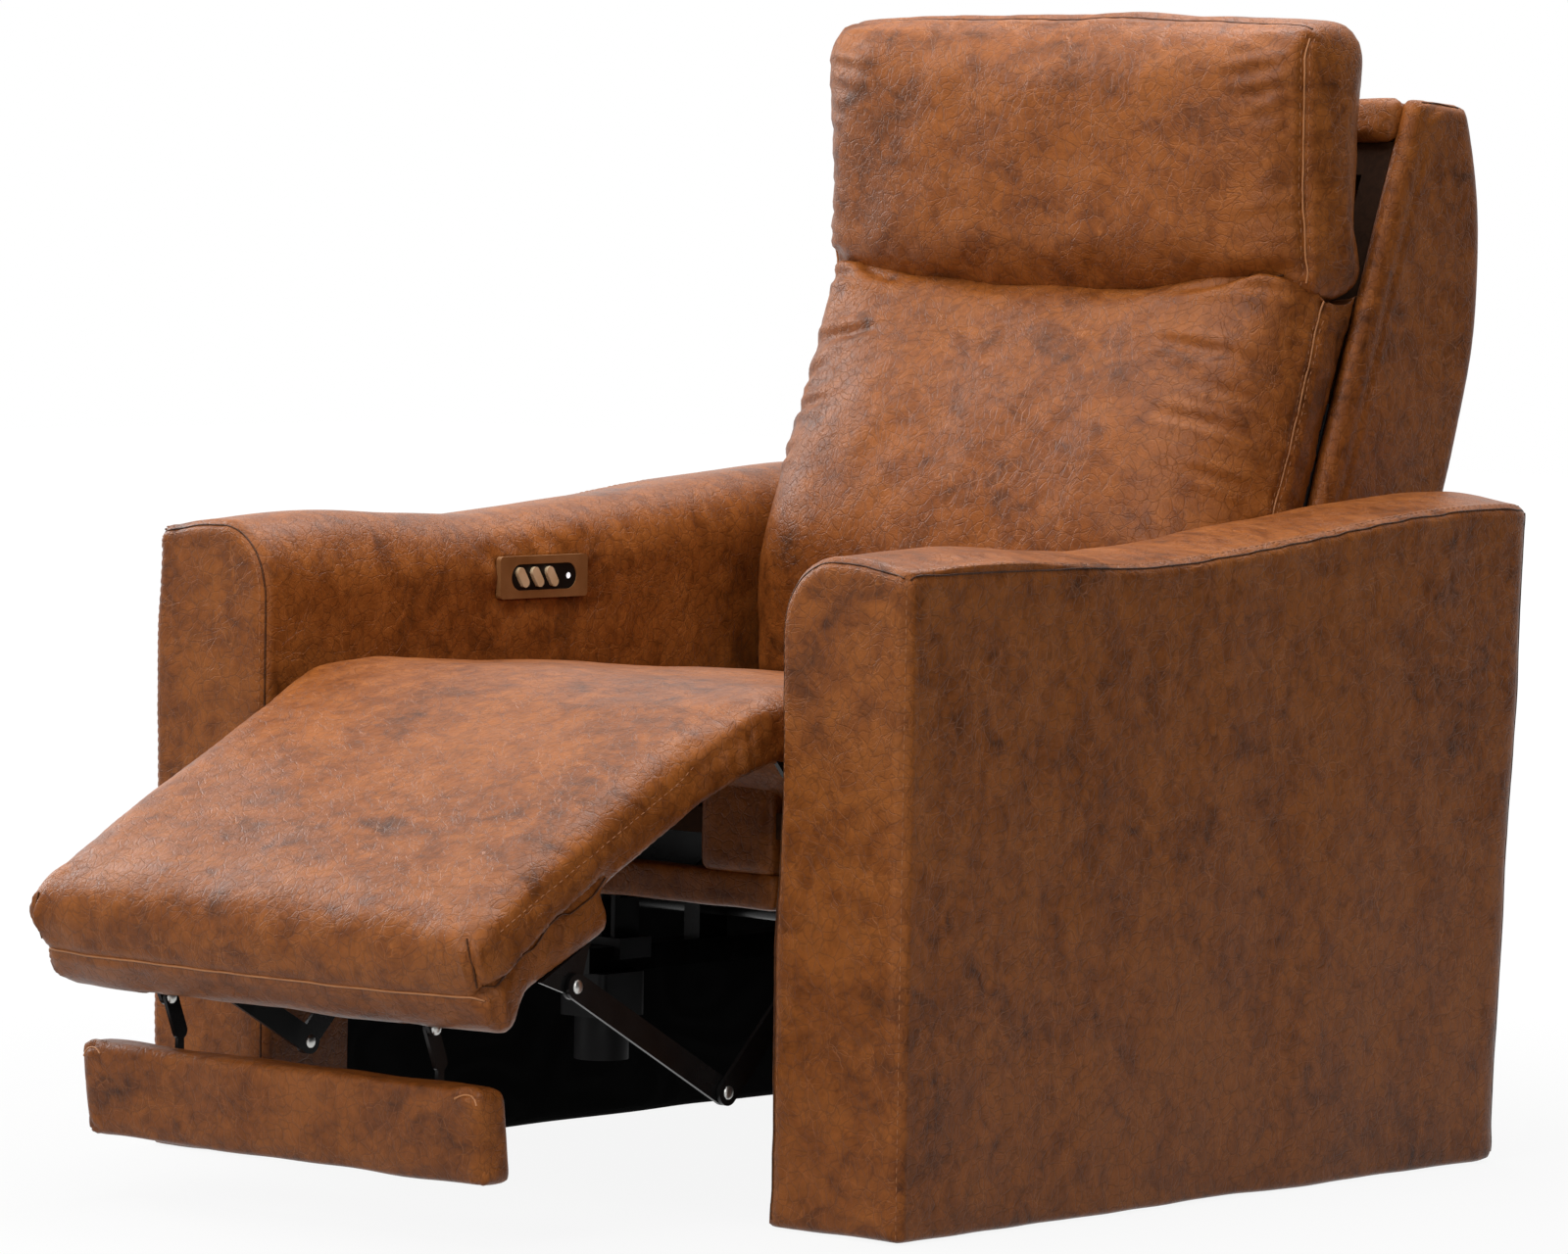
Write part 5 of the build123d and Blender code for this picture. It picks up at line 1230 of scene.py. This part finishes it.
def made_wing(name, side):
    front_top = SHELL_TOP[1] - SHELL_FRONT_DROP - 14
    face = pairs(WING_FRONT, np.linspace(front_top, SHELL_LOW + 40, 34))
    outline = np.concatenate([shell_profile(0.0), face])
    outward = square_to(outline)
    outward *= np.sign(((outline - outline.mean(axis=0)) * outward).sum(1).mean())
    rings = []
    for x, inset in WING_SECTION:
        flat = outline - outward * inset
        rings.append(on_back(side * x, flat[:, 0], flat[:, 1]))
    wing = skinned(name, rings, 4.5, 4, (91 if side > 0 else 92, 130.0, 0.8))
    edge = on_back(side * (WING_FACE + 1), WING_FRONT + 26.0, np.linspace(-20, 640, 60))
    through = np.linspace(30, 90, 12)
    top = on_back(side * WING_FACE, through, 690.0 + 0.24 * (through - 20))
    pleat = traced(on_back, side, (WING_FACE, 34, 668), (WING_FACE, 48, 682), (WING_FACE, 62, 692))
    pressed(wing, [groove(edge, 4.0, 1.2, 0.5), groove(top, 4.0, 1.6), groove(pleat, 4.0, 2.2, 1.2, True)])
    upholstered(wing, "back", 0.9, "back_wings")
    sewn(wing, "back", edge, seam=False, rows=(0.0,))
    sewn(wing, "back", top)


def made_rear_panel():
    outer = shell_profile(0.0)
    outline = np.concatenate([outer, shell_profile(SHELL_THICK)[::-1]])
    rings = []
    for x in np.linspace(-SHELL_HALF, SHELL_HALF, 40):
        flat = outline.copy()
        flat[:len(outer), 0] += 5.0 * (1 - (x / SHELL_HALF) ** 4) * ease(outer[:, 1], 690, 560)
        rings.append(on_back(x, flat[:, 0], flat[:, 1]))
    panel = skinned("outside_back_cover", rings, SKIN, 4, (95, 170.0, 1.0))
    seam = on_back(np.linspace(-290, 290, 40), 212.0, 240.0)
    pressed(panel, [groove(seam, 4.5, 1.6, 0.6)])
    upholstered(panel, "back", 0.9, "outside_back_panel")
    sewn(panel, "back", seam, rows=(-6.0, 6.0))


made_wing("left_wing_cover", 1.0)
made_wing("right_wing_cover", -1.0)
made_rear_panel()
band_rings = wrapped_rings(on_band, half=303.0, low=-12.0, high=9.0, start=638.0, end=683.0, edge=9.0,
                           swell=1.0)
band = skinned("upper_back_band", band_rings, 3.5, 3, (97, 60.0, 0.9))
upholstered(band, "back", 0.9)

# Seam lines, darkened as painted shade, and stitches, one mesh of each for every body that carries some;
# sizes in metres
for body, lines in shaded_seam_lines.items():
    grown(f"{body}_shaded_seam_lines", lines, SEAM_TREE, {"Radius": 0.0010}, body)
for body, lines in folded_lines.items():
    grown(f"{body}_folded_seams", lines, FOLD_TREE, {"Radius": 0.0011}, body)
STITCH = {"Pitch": 0.0085, "Size": (0.00055, 0.00055, 0.0030)}
for body, lines in stitch_lines.items():
    grown(f"{body}_stitches", lines, STITCH_TREE, STITCH, body)

# Rivet heads on the mechanism's pivots, on the outer and inner face of each stack of links
RIVET = {"Size": (0.0022, 0.0065, 0.0065)}
RIVET_REACH = 0.014
behaviour = frame["record"]["behaviour"]
body_of = {name: body for body, names in behaviour["bodies"].items() for name in names}
pivots = {joint["name"]: np.array(joint["pos_m"]) for joint in behaviour["joints"] if "pos_m" in joint}
elbow = pivots["lift_link_turn"] + pivots["lift_crank_turn"] - pivots["footrest_lift"]
rivet_spots = {}


def pivot_heads(pivot, stack):
    for side in SIDES:
        faces = []
        for name in stack:
            points = coords(frame["nodes"][name].data)
            near = np.hypot(points[:, 1] - pivot[1], points[:, 2] - pivot[2]) < RIVET_REACH
            faces += [(side * x, name) for x in points[near & (side * points[:, 0] > 0), 0]]
        for x, name in (min(faces), max(faces)) if faces else ():
            rivet_spots.setdefault(body_of[name], []).append([(side * x, pivot[1], pivot[2])])


pivot_heads(pivots["footrest_lift"], ("knee_brackets", "footrest_arms"))
pivot_heads(pivots["lift_link_turn"], ("footrest_brackets", "lift_links"))
pivot_heads(pivots["flap_fold"], ("footrest_brackets", "flap_arms"))
pivot_heads(elbow, ("lift_links", "lift_cranks"))
for body, heads in rivet_spots.items():
    grown(f"{body}_rivets", heads, RIVET_TREE, RIVET, body)


# Dust cloth stretched behind the mechanism
def stretched_cloth(name, rows=8, columns=24):
    t, s = np.meshgrid(np.linspace(0, 1, rows + 1), np.linspace(0, 1, columns + 1), indexing="ij")
    y = CLOTH_Y + CLOTH_SLACK * hump(s) * hump(t)
    verts = on_chair(CLOTH_HALF * (2 * s - 1), y, CLOTH_LOW + CLOTH_HEIGHT * t).reshape(-1, 3)
    step = columns + 1
    corners = [i * step + j for i in range(rows) for j in range(columns)]
    faces = [(first, first + 1, first + step + 1, first + step) for first in corners]
    cloth = made(name, spots(verts), faces, DUST_CLOTH_AND_SHADE)
    thick = cloth.modifiers.new("thickness", "SOLIDIFY")
    thick.thickness = 0.0008
    baked(cloth)
    return cloth


dust_cloth = stretched_cloth("rear_dust_cloth")
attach(dust_cloth, "base")

# Camera, as the photograph was solved
camera_data = bpy.data.cameras.new("camera")
camera_data.lens = 182.1
camera_data.sensor_width = 36.0
camera_data.sensor_fit = "HORIZONTAL"
camera_data.clip_end = 60.0
camera = added("camera", camera_data)
right = Vector((0.74936, 0.66196, 0.01665))
upward = Vector((-0.05288, 0.03475, 0.99800))
forward = Vector((-0.66005, 0.74873, -0.06104))
turned = Matrix((right, upward, -forward)).transposed().to_4x4()
camera.matrix_world = Matrix.Translation(Vector(spots((5048.4, -5346.7, 983.2)))) @ turned
bpy.context.scene.camera = camera


# Floor, light and background, in metres
def studio_floor(size=14.0):
    mesh = bpy.data.meshes.new("studio_floor")
    corners = [(-size, -size, 0), (size, -size, 0), (size, size, 0), (-size, size, 0)]
    mesh.from_pydata(corners, [], [(0, 1, 2, 3)])
    ink = Finish("pale_floor")
    ink.surface({"Base Color": (0.36, 0.36, 0.36), "Roughness": 0.9})
    glow = ink.node("ShaderNodeEmission", {"Color": WHITE, "Strength": 1.03})
    away = ink.node("ShaderNodeVectorMath", {0: ink.place()}, operation="LENGTH").outputs["Value"]
    fade = ink.node("ShaderNodeMapRange", {"Value": away, "From Min": 0.9, "From Max": 2.2, "To Min": 0.88})
    share = ink.arithmetic("MULTIPLY", ink.backdrop_rays(), fade.outputs["Result"])
    shown = {0: share, 1: ink.bsdf.outputs["BSDF"], 2: glow.outputs["Emission"]}
    blend = ink.node("ShaderNodeMixShader", shown)
    ink.feed(ink.nodes["Material Output"].inputs["Surface"], blend.outputs["Shader"])
    mesh.materials.append(ink.material)
    floor = added("studio_floor", mesh)


def softbox(name, place_at, aim, size, power):
    data = bpy.data.lights.new(name, "AREA")
    data.shape = "RECTANGLE"
    data.size, data.size_y = size
    data.energy = power
    lamp = added(name, data)
    lamp.location = place_at
    lamp.rotation_euler = (Vector(aim) - Vector(place_at)).to_track_quat("-Z", "Y").to_euler()


def dark_flag(x=1.5, front=-0.7, rear=4.0, low=0.02, high=2.6):
    """A black studio flag beside the chair, seen only in the gloss of its outer sides."""
    mesh = bpy.data.meshes.new("dark_flag")
    mesh.from_pydata([(x, front, low), (x, rear, low), (x, rear, high), (x, front, high)], [], [(0, 3, 2, 1)])
    mesh.materials.append(Finish("flag_black").surface({"Base Color": (0.01, 0.01, 0.01), "Roughness": 1.0}))
    flag = added("dark_flag", mesh)
    flag.visible_camera = False
    flag.visible_diffuse = False
    flag.visible_shadow = False


studio_floor()
dark_flag()
softbox("overhead_softbox", (-0.3, -0.8, 3.4), (0.0, 0.0, 0.4), (2.6, 2.6), 90.0)
softbox("rear_top_softbox", (-0.2, 1.3, 3.2), (0.0, 0.0, 0.6), (2.4, 1.6), 70.0)
softbox("front_softbox", (0.7, -4.6, 2.8), (0.0, 0.0, 0.5), (2.0, 2.0), 112.0)
softbox("left_softbox", (-3.6, -0.2, 2.2), (0.0, 0.0, 0.6), (1.6, 2.0), 70.0)
softbox("right_softbox", (4.4, -1.6, 2.6), (0.2, 0.0, 0.4), (2.0, 2.0), 48.0)
world = bpy.data.worlds.new("studio_world")
world.use_nodes = True
bpy.context.scene.world = world
air = Wiring(world.node_tree)
strength = air.node("ShaderNodeMapRange", {"Value": air.backdrop_rays(), "To Min": 0.13, "To Max": 1.0})
air.feed(air.nodes["Background"].inputs["Color"], WHITE)
air.feed(air.nodes["Background"].inputs["Strength"], strength.outputs["Result"])
bpy.context.scene.view_settings.view_transform = "Standard"

bpy.context.view_layer.update()
